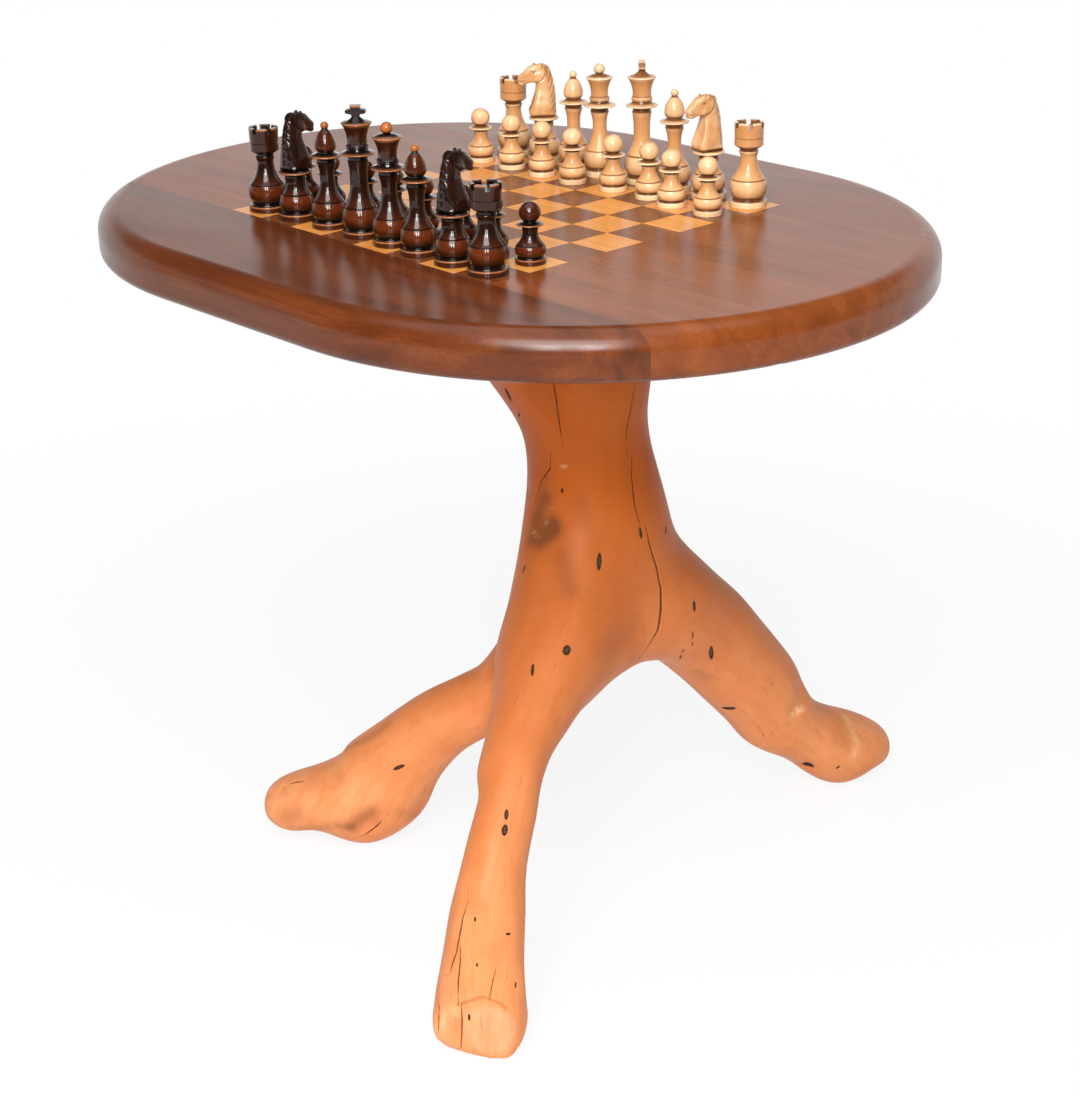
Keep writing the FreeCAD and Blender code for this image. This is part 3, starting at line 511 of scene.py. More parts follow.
# Hollows of the growth, then a finer mesh where marks are cut
fork_tree = BVHTree.FromBMesh(shape)
swells = [(radius, lift, struck(photo_ray, [pixel])) for radius, lift, pixel in FORK_SWELLS]
shape.normal_update()
for vert in shape.verts:
    push = 0
    for radius, lift, hits in swells:
        for hit in hits:
            push += lift * math.exp(-((vert.co - hit).length / radius) ** 2)
    if push:
        vert.co += vert.normal * push
fork_tree = BVHTree.FromBMesh(shape)
crack_paths = [(width, dark, struck(photo_ray, places)) for width, dark, *places in FORK_CRACKS]
crack_paths += [(width, dark, struck(side_ray, places)) for width, dark, *places in HIDDEN_CRACKS]
knot_paths = [(width, struck(photo_ray, places)) for width, *places in FORK_KNOTS]
knot_paths += [(width, struck(side_ray, places)) for width, *places in HIDDEN_KNOTS]
lip_path = struck(photo_ray, FORK_LIP[1:])
all_paths = [marks[-1] for marks in crack_paths + knot_paths] + [lip_path]
mark_spots = []
for path in all_paths:
    for start, end in zip(path, path[1:]):
        count = max(1, round((end - start).length / MARK_STEP))
        mark_spots += [start.lerp(end, index / count) for index in range(count + 1)]
near_marks = kdtree.KDTree(len(mark_spots))
for index, spot in enumerate(mark_spots):
    near_marks.insert(spot, index)
near_marks.balance()
for reach in MARK_REACHES:
    close = [edge for edge in shape.edges
             if near_marks.find((edge.verts[0].co + edge.verts[1].co) / 2)[2] < reach]
    bmesh.ops.subdivide_edges(shape, edges=close, cuts=1, use_grid_fill=True)
    fresh = [vert for vert in shape.verts if near_marks.find(vert.co)[2] < reach]
    soften(shape, fresh, 2)
bmesh.ops.triangulate(shape, faces=[face for face in shape.faces if len(face.verts) > 4])
shape.normal_update()
spots = np.array([vert.co for vert in shape.verts])
wobble = np.array([noise.noise(vert.co * WOBBLE_FINENESS) for vert in shape.verts]) * CRACK_WOBBLE
cracks = np.zeros(len(spots))
for width, dark, path in crack_paths:
    if len(path) > 1:
        away, reached = off_path(spots, path)
        swell = np.sin(np.pi * np.clip(reached, 0.02, 0.98)) ** CRACK_TAPER
        taper = width / 2 * (CRACK_ENDS + (1 - CRACK_ENDS) * swell)
        cracks = np.maximum(cracks, dark * smooth_step(CRACK_EDGE - np.abs(away + wobble) / taper))
knots = np.zeros(len(spots))
for width, path in knot_paths:
    if len(path) > 1:
        knots = np.maximum(knots, in_knot(spots, path, width))
lip = smooth_step(LIP_EDGE - off_path(spots, lip_path)[0] / (FORK_LIP[0] / 2))


def spread(blots):
    """Soft blots along the pixels they show at."""
    total = np.zeros(len(spots))
    for radius, strength, *pixels in blots:
        path = struck(photo_ray, pixels)
        if len(path) > 1:
            total += strength * bell(off_path(spots, path)[0], radius)
    return np.clip(total, 0, 1)


stains_and_shade = spread(FORK_STAINS_AND_SHADE)
scuffs_and_sheen = spread(FORK_SCUFFS_AND_SHEEN)
end_middle = np.array(struck(photo_ray, FORK_END_GRAIN[1:])[0])
end_grain = smooth_step((FORK_END_GRAIN[0] - np.linalg.norm(spots - end_middle, axis=1)) / END_GRAIN_FADE)
sink = cracks * CRACK_DEPTH + knots * KNOT_DEPTH + lip * LIP_DEPTH
for vert, depth in zip(shape.verts, sink):
    vert.co -= vert.normal * depth
    vert.co.z = min(max(vert.co.z, fork_low.z), fork_high.z)

# Grain that follows the trunk and each leg: two coordinates across the limb and one along it
soles = [None] + [mounts[name + "_foot_sole"] for name in ("front", "right", "left")]
grain = np.zeros((len(spots), 3))
weights = np.zeros(len(spots))
for line, sole in zip(limb_lines, soles):
    path = line[::GRAIN_STEP, :3]
    if sole:
        path = np.vstack([path, sole])
    runs = np.linalg.norm(np.diff(path, axis=0), axis=1)
    along = fork_high.z - path[0, 2] + np.concatenate([[0], np.cumsum(runs)])
    away, reached = off_path(spots, path)
    marks_along = np.linspace(0, 1, len(path))
    axis_x, axis_y, length = [np.interp(reached, marks_along, row)
                              for row in (path[:, 0], path[:, 1], along)]
    weight = bell(away, GRAIN_REACH) + 1e-9
    grain += np.stack([spots[:, 0] - axis_x, spots[:, 1] - axis_y, length], axis=1) * weight[:, None]
    weights += weight
grain /= weights[:, None]
shape.to_mesh(fork_mesh)
shape.free()
fork_marks = {
    "crack": cracks, "knot": knots, "stain": stains_and_shade, "scuff": scuffs_and_sheen, "lip": lip, "end_grain": end_grain}
for name, values in fork_marks.items():
    fork_mesh.attributes.new(name, "FLOAT", "POINT").data.foreach_set("value", values.astype(np.float32))
fork_mesh.attributes.new("grain", "FLOAT_VECTOR", "POINT").data.foreach_set(
    "vector", grain.astype(np.float32).ravel())
for face in fork_mesh.polygons:
    face.use_smooth = True


def shade(red, green, blue):
    """A colour as it looks on a screen, from 0 to 255, as a shader takes it."""
    levels = [value / 255 for value in (red, green, blue)]
    return [value / 12.92 if value < 0.04045 else ((value + 0.055) / 1.055) ** 2.4 for value in levels] + [1]


def feed(tree, node, inputs):
    """Inputs of a shader node, set or linked."""
    for key, value in inputs.items():
        if isinstance(value, bpy.types.NodeSocket):
            tree.links.new(value, node.inputs[key])
        else:
            node.inputs[key].default_value = value


def add(tree, kind, inputs, **settings):
    """A new shader node with its settings and its inputs."""
    node = tree.nodes.new(kind)
    for key, value in settings.items():
        setattr(node, key, value)
    feed(tree, node, inputs)
    return node


def mix(tree, amount, first, second, mode="MIX"):
    """Two colours blended by an amount."""
    node = add(tree, "ShaderNodeMix", {0: amount, 6: first, 7: second}, data_type="RGBA", blend_type=mode)
    return node.outputs[2]


def sums(tree, operation, first, second):
    """Two numbers put through a sum, held between 0 and 1."""
    return add(tree, "ShaderNodeMath", {0: first, 1: second}, operation=operation, use_clamp=True).outputs[0]


def times(tree, first, second):
    """Two numbers multiplied, held between 0 and 1."""
    return sums(tree, "MULTIPLY", first, second)


def ramp(tree, amount, *stops):
    """A colour for each amount, from stops of place and colour or grey level."""
    node = add(tree, "ShaderNodeValToRGB", {"Fac": amount})
    while len(node.color_ramp.elements) < len(stops):
        node.color_ramp.elements.new(1)
    for element, (place, colour) in zip(node.color_ramp.elements, stops):
        element.position = place
        element.color = (colour, colour, colour, 1) if isinstance(colour, (int, float)) else colour
    return node.outputs[0]


def rescale(tree, value, low, high, to_low=0.0, to_high=1.0, **settings):
    """A number moved from one range to another and held in it."""
    return add(tree, "ShaderNodeMapRange", {
        "Value": value, "From Min": low, "From Max": high, "To Min": to_low, "To Max": to_high},
        **settings).outputs[0]


def vectors(tree, operation, *inputs):
    """One or two vectors put through a sum."""
    return add(tree, "ShaderNodeVectorMath", dict(enumerate(inputs)), operation=operation)


def height_of(tree, place):
    """The third of three coordinates."""
    return add(tree, "ShaderNodeSeparateXYZ", {0: place}).outputs[2]


def attribute(tree, name):
    """A mesh attribute as a shader node."""
    return add(tree, "ShaderNodeAttribute", {}, attribute_name=name)


def streaks(tree, coordinates, scale, detail=4.0, rough=0.5, twist=0.0):
    """Noise drawn out along one direction by three scales."""
    drawn = add(tree, "ShaderNodeMapping", {"Vector": coordinates, "Scale": scale})
    texture = add(tree, "ShaderNodeTexNoise", {
        "Vector": drawn.outputs[0], "Scale": 1.0, "Detail": detail, "Roughness": rough, "Distortion": twist})
    return texture.outputs[0]


def finish(name):
    """An empty material, its nodes, its surface shader and the place on its object."""
    material = bpy.data.materials.new(name)
    material.use_nodes = True
    tree = material.node_tree
    place = add(tree, "ShaderNodeTexCoord", {}).outputs["Object"]
    return material, tree, tree.nodes["Principled BSDF"], place


def bump(tree, surface, height, strength, distance):
    """Fine relief on a surface."""
    node = add(tree, "ShaderNodeBump", {"Height": height, "Strength": strength, "Distance": distance})
    tree.links.new(node.outputs[0], surface.inputs["Normal"])


def dress(piece, material):
    """One material all over a piece."""
    piece.data.materials.clear()
    piece.data.materials.append(material)


fork_finish, tree, surface, place = finish("honey_lacquered_fork")
along_grain = attribute(tree, "grain").outputs["Vector"]
mark = {name: attribute(tree, name).outputs["Fac"] for name in fork_marks}
broad = streaks(tree, along_grain, (22, 22, 2.2), 4, 0.5)
fine = streaks(tree, along_grain, (170, 170, 5), 4, 0.6)
clouds = streaks(tree, place, (6, 6, 6), 3, 0.5)
pores = streaks(tree, along_grain, (480, 480, 22), 2, 0.5)
blotches = streaks(tree, place, (30, 30, 30), 4, 0.6)
rays = streaks(tree, place, (160, 160, 40), 4, 0.6)
# Paler, peachier wood towards the floor is painted light, standing in for the strongly lit lower legs; the
# deeper orange up the trunk is the wood's own tone. The clouds' tone fades the same way.
raised = rescale(tree, height_of(tree, place), PAINTED_LIGHT_BELOW, DEEP_ABOVE)
pale = ramp(tree, broad, (0.25, shade(221, 138, 84)), (0.5, shade(232, 154, 103)),
            (0.75, shade(240, 168, 120)))
deep = ramp(tree, broad, (0.25, shade(158, 70, 17)), (0.5, shade(180, 86, 23)), (0.75, shade(198, 102, 33)))
colour = mix(tree, raised, pale, deep)
cloud_colour = mix(tree, raised, shade(228, 142, 84), shade(178, 86, 24))
colour = mix(tree, times(tree, clouds, 0.5), colour, cloud_colour)
colour = mix(tree, ramp(tree, blotches, (0.36, 0.22), (0.58, 0)), colour, shade(186, 94, 36))
colour = mix(tree, ramp(tree, fine, (0.36, 0.2), (0.6, 0)), colour, shade(196, 100, 42))
colour = mix(tree, ramp(tree, pores, (0.27, 0.3), (0.33, 0)), colour, shade(132, 64, 26))
end_colour = ramp(tree, rays, (0.3, shade(214, 146, 104)), (0.6, shade(238, 178, 136)))
colour = mix(tree, times(tree, mark["end_grain"], 0.45), colour, end_colour)
# A darker line along the sawn lip, painted shade under its step
colour = mix(tree, times(tree, mark["lip"], 0.6), colour, shade(190, 116, 68))
# Brown stains, and painted shade under and along the left foot's edges and in its folds, in the same brown
fibrous = sums(tree, "ADD", times(tree, broad, 0.9), times(tree, blotches, 0.6))
colour = mix(tree, times(tree, mark["stain"], fibrous), colour, shade(112, 66, 38))
# Pale scuffs, and a painted sheen along the right foot's outer and upper edges, in the same pale colour
flecks = ramp(tree, rays, (0.4, 0.35), (0.6, 1))
colour = mix(tree, times(tree, mark["scuff"], flecks), colour, shade(246, 204, 156))
knot_colour = ramp(tree, mark["knot"], (0.25, shade(126, 74, 38)), (0.5, shade(44, 26, 15)),
                   (0.8, shade(30, 20, 13)), (1.0, shade(80, 60, 42)))
colour = mix(tree, ramp(tree, mark["knot"], (0.02, 0), (0.25, 0.5), (0.5, 1)), colour, knot_colour)
colour = mix(tree, ramp(tree, mark["crack"], (0.12, 0), (0.75, 0.9)), colour, shade(72, 34, 14))
rough = ramp(tree, blotches, (0.3, 0.38), (0.75, 0.52))
feed(tree, surface, {"Base Color": colour, "Roughness": rough, "Specular IOR Level": 0.12})
relief = sums(tree, "ADD", times(tree, fine, 0.5), times(tree, blotches, 0.5))
bump(tree, surface, relief, 0.22, 0.0012)
dress(fork, fork_finish)
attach(fork, "table")
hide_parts("root_base")

# Bearers and dowels: plain planed beech, screwed or glued, hidden under and inside the top.
beech_finish, tree, surface, place = finish("planed_beech")
fleck = streaks(tree, place, (160, 9, 160), 4, 0.6)
colour = ramp(tree, fleck, (0.3, shade(176, 134, 92)), (0.7, shade(206, 168, 124)))
feed(tree, surface, {"Base Color": colour, "Roughness": ramp(tree, fleck, (0.3, 0.5), (0.7, 0.68))})
bump(tree, surface, fleck, 0.25, 0.0006)
for name in ("left_bearer", "right_bearer", "front_seam_dowels", "rear_seam_dowels"):
    dress(frame["nodes"][name], beech_finish)

# Screws and washers: zinc-plated steel, cloudy and a little brushed.
zinc_finish, tree, surface, place = finish("zinc_plate")
cloudy = streaks(tree, place, (240, 240, 240), 4, 0.6)
colour = ramp(tree, cloudy, (0.3, shade(150, 150, 150)), (0.7, shade(186, 186, 182)))
rough = ramp(tree, cloudy, (0.3, 0.28), (0.7, 0.45))
feed(tree, surface, {"Base Color": colour, "Roughness": rough, "Metallic": 1})
bump(tree, surface, cloudy, 0.15, 0.0003)
for name in ("coach_screws", "coach_washers", "top_screws"):
    dress(frame["nodes"][name], zinc_finish)

# Planks: three red-brown boards glued edge to edge, grain along the table, worked to one
# racetrack with a rounded edge and sealed with satin lacquer. The front board is coloured darker than the
# other two, which differ a little.
PLANK_TONES = {
    "front_plank": (shade(70, 31, 12), shade(97, 46, 18), shade(122, 62, 26), 0.0),
    "centre_plank": (shade(96, 44, 16), shade(122, 61, 24), shade(141, 76, 34), 3.1),
    "rear_plank": (shade(90, 42, 17), shade(116, 58, 25), shade(136, 74, 34), 7.4),
}
for name, (dark, middle, light, offset) in PLANK_TONES.items():
    plank_finish, tree, surface, place = finish(name + "_satin_lacquer")
    board = add(tree, "ShaderNodeMapping", {"Vector": place, "Location": (offset, offset / 3, 0)}).outputs[0]
    figure = streaks(tree, board, (2.2, 26, 26), 6, 0.55, 1.2)
    fibres = streaks(tree, board, (14, 420, 420), 4, 0.6)
    pores = streaks(tree, board, (40, 900, 900), 2, 0.5)
    clouds = streaks(tree, board, (5, 9, 9), 3, 0.5)
    colour = ramp(tree, figure, (0.28, dark), (0.5, middle), (0.74, light))
    colour = mix(tree, ramp(tree, fibres, (0.35, 0.4), (0.6, 0)), colour, dark)
    colour = mix(tree, ramp(tree, pores, (0.28, 0.5), (0.34, 0)), colour, shade(48, 22, 12))
    colour = mix(tree, times(tree, clouds, 0.3), colour, middle)
    rough = ramp(tree, clouds, (0.3, 0.2), (0.7, 0.28))
    feed(tree, surface, {"Base Color": colour, "Roughness": rough, "Specular IOR Level": 0.33})
    bump(tree, surface, fibres, 0.05, 0.0006)
    dress(frame["nodes"][name], plank_finish)

# Board squares: thin squares of pale amber and brown wood let flush into the centre plank,
# with the grain of each its own, under the same lacquer as the planks.
SQUARE_SIDE = 0.046
SQUARE_TONES = {
    "light_squares": (shade(198, 126, 54), shade(220, 150, 74), shade(208, 138, 64)),
    "dark_squares": (shade(96, 50, 23), shade(122, 68, 34), shade(110, 58, 28)),
}
board_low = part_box("light_squares")[0]
for name, (dark, light, middle) in SQUARE_TONES.items():
    square_finish, tree, surface, place = finish(name + "_veneer")
    shift = vectors(tree, "ADD", place, (-board_low.x, -board_low.y, 0)).outputs[0]
    squares = add(tree, "ShaderNodeVectorMath", {0: shift, 3: 1 / SQUARE_SIDE}, operation="SCALE").outputs[0]
    cell = vectors(tree, "FLOOR", squares).outputs[0]
    own = add(tree, "ShaderNodeTexWhiteNoise", {"Vector": cell}, noise_dimensions="2D")
    moved = vectors(tree, "ADD", place, own.outputs["Color"]).outputs[0]
    figure = streaks(tree, moved, (9, 110, 60), 5, 0.6, 0.5)
    fibres = streaks(tree, moved, (30, 700, 700), 3, 0.6)
    colour = ramp(tree, figure, (0.3, dark), (0.7, light))
    colour = mix(tree, times(tree, own.outputs["Value"], 0.5), colour, middle)
    colour = mix(tree, ramp(tree, fibres, (0.3, 0.35), (0.55, 0)), colour, dark)
    rough = ramp(tree, figure, (0.3, 0.2), (0.7, 0.28))
    feed(tree, surface, {"Base Color": colour, "Roughness": rough, "Specular IOR Level": 0.36})
    bump(tree, surface, fibres, 0.05, 0.0005)
    dress(frame["nodes"][name], square_finish)

# Chessmen: turned hardwood under gloss lacquer. The dark set is stained nearly black and fades to
# orange on bellies and rims, the light set is pale wood with its grooves scorched brown. Painted shade
# darkens each belly low down where it turns under, and widens the dark bands under bellies, collars and
# heads.
# The 'shade' tone is painted shade; the 'groove' tone is the scorched brown, and also painted shade where
# its bands reach under bellies, collars and heads
MEN_TONES = {
    "light": {
        "foot": shade(238, 206, 160), "rim": shade(246, 222, 180), "groove": shade(58, 28, 12),
        "line": shade(116, 66, 32), "shade": shade(212, 160, 108), "belly": shade(236, 192, 142),
        "flank": shade(226, 174, 120), "skirt": shade(212, 156, 102), "ring": shade(230, 188, 138),
        "head": shade(236, 194, 146), "crown": shade(208, 152, 98), "tip": shade(242, 210, 162),
        "cap": shade(112, 62, 32)},
    "dark": {
        "foot": shade(66, 29, 11), "rim": shade(174, 108, 66), "groove": shade(11, 6, 4),
        "line": shade(13, 7, 5), "shade": shade(42, 17, 6), "belly": shade(96, 40, 10),
        "flank": shade(70, 29, 8), "skirt": shade(38, 16, 6), "ring": shade(46, 20, 8),
        "head": shade(78, 32, 9), "crown": shade(54, 22, 8), "tip": shade(190, 100, 38),
        "cap": shade(20, 10, 7)},
}
# Darker colour of each set, used for its wood figure and patches and as painted shade towards each man's
# outline, and how strong that shade gets
MEN_FIGURE_AND_SILHOUETTE_SHADE = {"light": (shade(168, 106, 56), 0.45), "dark": (shade(16, 8, 6), 0.9)}
# Bands of tone up each man: the tone, then where it begins and ends, in shares of its height
# The 'shade' stop low on each belly is painted shade where the belly turns under, and the 'groove' bands
# under bellies, collars and heads are widened with painted shade
MEN_BANDS = {
    "pawn": (("foot", 0, 0.066), ("rim", 0.076, 0.086), ("groove", 0.098, 0.128), ("shade", 0.15),
             ("belly", 0.22, 0.292), ("line", 0.304, 0.313), ("flank", 0.326), ("skirt", 0.43, 0.52),
             ("ring", 0.555, 0.572), ("groove", 0.58, 0.606), ("ring", 0.618), ("rim", 0.63, 0.644),
             ("ring", 0.652), ("groove", 0.662, 0.712), ("head", 0.742, 1)),
    "rook": (("foot", 0, 0.052), ("rim", 0.058, 0.066), ("groove", 0.076, 0.118), ("shade", 0.14),
             ("belly", 0.22, 0.312), ("line", 0.321, 0.328), ("flank", 0.338), ("skirt", 0.47, 0.6),
             ("ring", 0.644, 0.658), ("groove", 0.665, 0.696), ("crown", 0.73, 0.814), ("line", 0.822),
             ("crown", 0.83, 0.975), ("rim", 0.99, 1)),
    "knight": (("foot", 0, 0.094), ("rim", 0.106, 0.12), ("groove", 0.134, 0.192), ("shade", 0.225),
               ("belly", 0.36, 0.49), ("line", 0.508, 0.52), ("flank", 0.534), ("skirt", 0.66, 0.79),
               ("ring", 0.836), ("groove", 0.85, 0.892), ("ring", 0.92), ("rim", 0.94, 0.966),
               ("ring", 0.98), ("groove", 1)),
    "bishop": (("foot", 0, 0.042), ("rim", 0.047, 0.054), ("groove", 0.062, 0.09), ("shade", 0.108),
               ("belly", 0.17, 0.24), ("line", 0.249, 0.254), ("flank", 0.262), ("skirt", 0.38, 0.58),
               ("ring", 0.612, 0.62), ("groove", 0.627, 0.654), ("ring", 0.664), ("rim", 0.676, 0.688),
               ("ring", 0.696), ("groove", 0.706, 0.732), ("head", 0.757, 0.915), ("groove", 0.928, 0.94),
               ("tip", 0.952, 1)),
    "queen": (("foot", 0, 0.038), ("rim", 0.043, 0.049), ("groove", 0.056, 0.08), ("shade", 0.097),
              ("belly", 0.155, 0.22), ("line", 0.23), ("flank", 0.242), ("skirt", 0.35, 0.53),
              ("ring", 0.565), ("groove", 0.581, 0.607), ("ring", 0.616), ("rim", 0.626, 0.637),
              ("ring", 0.646), ("groove", 0.656, 0.672), ("ring", 0.69), ("line", 0.714),
              ("crown", 0.722, 0.85), ("rim", 0.872, 0.884), ("groove", 0.896, 0.918), ("tip", 0.934, 1)),
    "king": (("foot", 0, 0.037), ("rim", 0.042, 0.048), ("groove", 0.056, 0.082), ("shade", 0.099),
             ("belly", 0.16, 0.237), ("line", 0.246, 0.251), ("flank", 0.26), ("skirt", 0.38, 0.6),
             ("ring", 0.63), ("groove", 0.646, 0.673), ("ring", 0.682), ("rim", 0.691, 0.701),
             ("ring", 0.71), ("groove", 0.72, 0.742), ("ring", 0.752, 0.77), ("line", 0.778),
             ("crown", 0.787, 0.92), ("rim", 0.942, 0.954), ("cap", 0.962, 1)),
    "finial": (("cap", 0, 0.2), ("ring", 0.24, 0.44), ("cap", 0.5, 0.8), ("rim", 0.88, 1)),
}
ROOK_WELL = (0.60, 0.54)
ROOK_WALL = (0.930, 0.945)
ROOK_CUT = 0.7
# Gloss of each set: specular level, coat, index of the coat
MEN_GLOSS = {"light": (0.25, 0.5, 1.42), "dark": (0.08, 1.0, 1.40)}


def lacquer(tree, surface, place, colour, kind):
    """Wood figure, painted shade darkening towards the outline, gloss lacquer and faint tool marks over a
    man's colour.
    """
    figure = streaks(tree, place, (150, 150, 26), 4, 0.6)
    fibres = streaks(tree, place, (620, 620, 60), 3, 0.6)
    patches = streaks(tree, place, (21, 21, 21), 2, 0.5)
    figure_and_silhouette_shade, silhouette_shade_amount = MEN_FIGURE_AND_SILHOUETTE_SHADE[kind]
    burn = times(tree, ramp(tree, figure, (0.3, 0.5), (0.7, 0)), 0.6)
    colour = mix(tree, burn, colour, figure_and_silhouette_shade)
    colour = mix(tree, ramp(tree, patches, (0.35, 0.28), (0.6, 0)), colour, figure_and_silhouette_shade)
    # Painted shade: the colour darkens where the surface turns away from the view, towards each man's
    # outline
    facing = add(tree, "ShaderNodeLayerWeight", {"Blend": 0.45}).outputs["Facing"]
    outline = ramp(tree, facing, (0.25, 0), (0.85, silhouette_shade_amount))
    specular, coat, coat_index = MEN_GLOSS[kind]
    feed(tree, surface, {
        "Base Color": mix(tree, outline, colour, figure_and_silhouette_shade),
        "Roughness": ramp(tree, patches, (0.3, 0.26), (0.7, 0.36)),
        "Specular IOR Level": specular, "Coat Weight": coat, "Coat IOR": coat_index, "Coat Roughness": 0.05})
    bump(tree, surface, fibres, 0.06, 0.0004)


men_finishes = {}
for name, node in frame["nodes"].items():
    colour_set = name.split("_")[0]
    if colour_set not in MEN_TONES or name.endswith(("squares", "_head")):
        continue
    kind = "finial" if name.endswith("finial") else name.split("_")[1]
    key = name if kind == "rook" else (colour_set, kind)
    if key not in men_finishes:
        low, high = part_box(name)
        foot = low.z
        if kind == "finial":
            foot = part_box(name.replace("finial", "body"))[1].z
        tones = MEN_TONES[colour_set]
        man_finish, tree, surface, place = finish(f"{colour_set}_{kind}_lacquer")
        share = rescale(tree, height_of(tree, place), foot, high.z)
        stops = [(stop, tones[tone]) for tone, *ends in MEN_BANDS[kind] for stop in ends]
        colour = ramp(tree, share, *stops)
        if kind == "rook":
            # The inside of the rook's well and the walls of its notches are darkened to the groove tone.
            middle = (low + high) / 2
            half = (high.x - low.x) / 2
            from_axis = vectors(tree, "SUBTRACT", place, (middle.x, middle.y, 0)).outputs[0]
            flat = vectors(tree, "MULTIPLY", from_axis, (1, 1, 0)).outputs[0]
            radius = vectors(tree, "LENGTH", flat).outputs["Value"]
            outward = vectors(tree, "NORMALIZE", flat).outputs[0]
            normal = add(tree, "ShaderNodeNewGeometry", {}).outputs["Normal"]
            turned_out = vectors(tree, "DOT_PRODUCT", normal, outward).outputs["Value"]
            within = rescale(tree, radius, half * ROOK_WELL[0], half * ROOK_WELL[1])
            turned = sums(tree, "ADD", sums(tree, "ABSOLUTE", turned_out, 0),
                          sums(tree, "ABSOLUTE", height_of(tree, normal), 0))
            sideways = sums(tree, "SUBTRACT", ROOK_CUT, turned)
            darkened_well_and_notches = sums(tree, "ADD", within, times(tree, sideways, 2.5))
            battlement = rescale(tree, share, *ROOK_WALL)
            colour = mix(tree, times(tree, darkened_well_and_notches, battlement), colour, tones["groove"])
        lacquer(tree, surface, place, colour, colour_set)
        men_finishes[key] = man_finish
    dress(node, men_finishes[key])

# Knight heads: carved by hand from the same wood and pegged on their turned feet. A tapering neck
# with a ridge of mane carries a small horse's head with ears, eyes, nostrils and a cut cheek line.
KNIGHT_TURNS = {"dark_knight_1": 98, "dark_knight_2": 95, "light_knight_1": 232, "light_knight_2": 258}
HEAD_VOXEL = 0.00055
HEAD_PASSES = 3
# Outline in millimetres from the peg's axis, forward and up, with how much of the width is left on
# the edge and how far in the rounding reaches
HEAD_OUTLINE = (
    (-10.3, 0.0, 0.75, 3), (-12.6, 2.7, 0.30, 9), (-12.1, 23.5, 0.18, 10), (-7.2, 46.0, 0.20, 7),
    (0.5, 52.7, 0.45, 5), (6.2, 51.4, 0.8, 3), (9.3, 53.5, 0.8, 3), (10.8, 51.5, 0.6, 4),
    (16.0, 49.2, 0.5, 5), (24.8, 40.7, 0.55, 4), (25.0, 35.3, 0.5, 4), (20.1, 32.1, 0.6, 4),
    (13.4, 34.2, 0.5, 4), (7.7, 33.7, 0.6, 4), (7.5, 31.6, 0.55, 6), (15.0, 5.9, 0.62, 7),
    (15.0, 3.2, 0.62, 6), (13.4, 0.0, 0.75, 3),
)
# Half width in millimetres over the peg's axis: forward, up, half width, reach
HEAD_WIDTHS = (
    (0.0, 2.0, 10.6, 7), (0.0, 10.0, 11.2, 7), (0.0, 20.0, 8.8, 7), (0.0, 30.0, 7.0, 7),
    (3.0, 40.0, 7.0, 5), (-5.0, 40.0, 6.0, 5), (10.0, 45.5, 5.9, 4), (4.0, 49.0, 5.4, 4),
    (-3.0, 48.0, 5.4, 4), (15.0, 42.0, 4.9, 4), (20.0, 39.0, 4.3, 3), (24.0, 38.0, 4.4, 3),
    (8.5, 52.5, 4.8, 2),
)
# The plain block's half width at heights above the foot
BLOCK_HEIGHTS = (0, 4.8, 11.8, 31, 40.7, 53.5)
BLOCK_WIDTHS = (10.1, 11.5, 11.0, 7.4, 6.9, 5.75)
# Lines and spots that are cut or left standing, forward and up
HEAD_LINES = {
    "cheek": ((1.2, 52.0), (-1.4, 48.8), (-2.2, 45.4), (-1.2, 40.6), (2.4, 36.6), (6.6, 34.4)),
    "mouth": ((24.8, 36.4), (22.2, 35.9), (19.6, 36.5)),
    "brow": ((12.4, 46.9), (10.2, 47.5), (8.0, 46.9)),
    "mane": ((-12.4, 3.5), (-12.1, 23.5), (-7.2, 46.0), (-2.0, 51.5)),
}
HEAD_EYE = (9.9, 45.9)
EYE_SHAPE = (1.5, 1.0)
EYE_RIM = 1.5
HEAD_NOSTRIL = (21.9, 38.9)
# How deep and how wide each is cut, then how dark and how wide it is scorched
HEAD_CUTS = {
    "cheek": (0.75, 0.7, 0.75, 0.55), "mouth": (0.5, 0.45, 0.8, 0.4), "nostril": (0.7, 0.75, 1.0, 0.6),
    "eye": (-0.55, 1.0, 1.0, 0.75), "lid": (0.4, 0.4, 0.4, 0.4), "brow": (-0.45, 0.6, 0.0, 1.0),
}
MANE_PITCH = 7.0
MANE_REACH = 6.5
MANE_SLANT = 1.8
EAR_GAP = (1.8, 4.6, 12.2, 49.5)
EAR_DEPTH = 2.6
EAR_TIPS = 51.6
SCORCHED_FOOT = 3.4


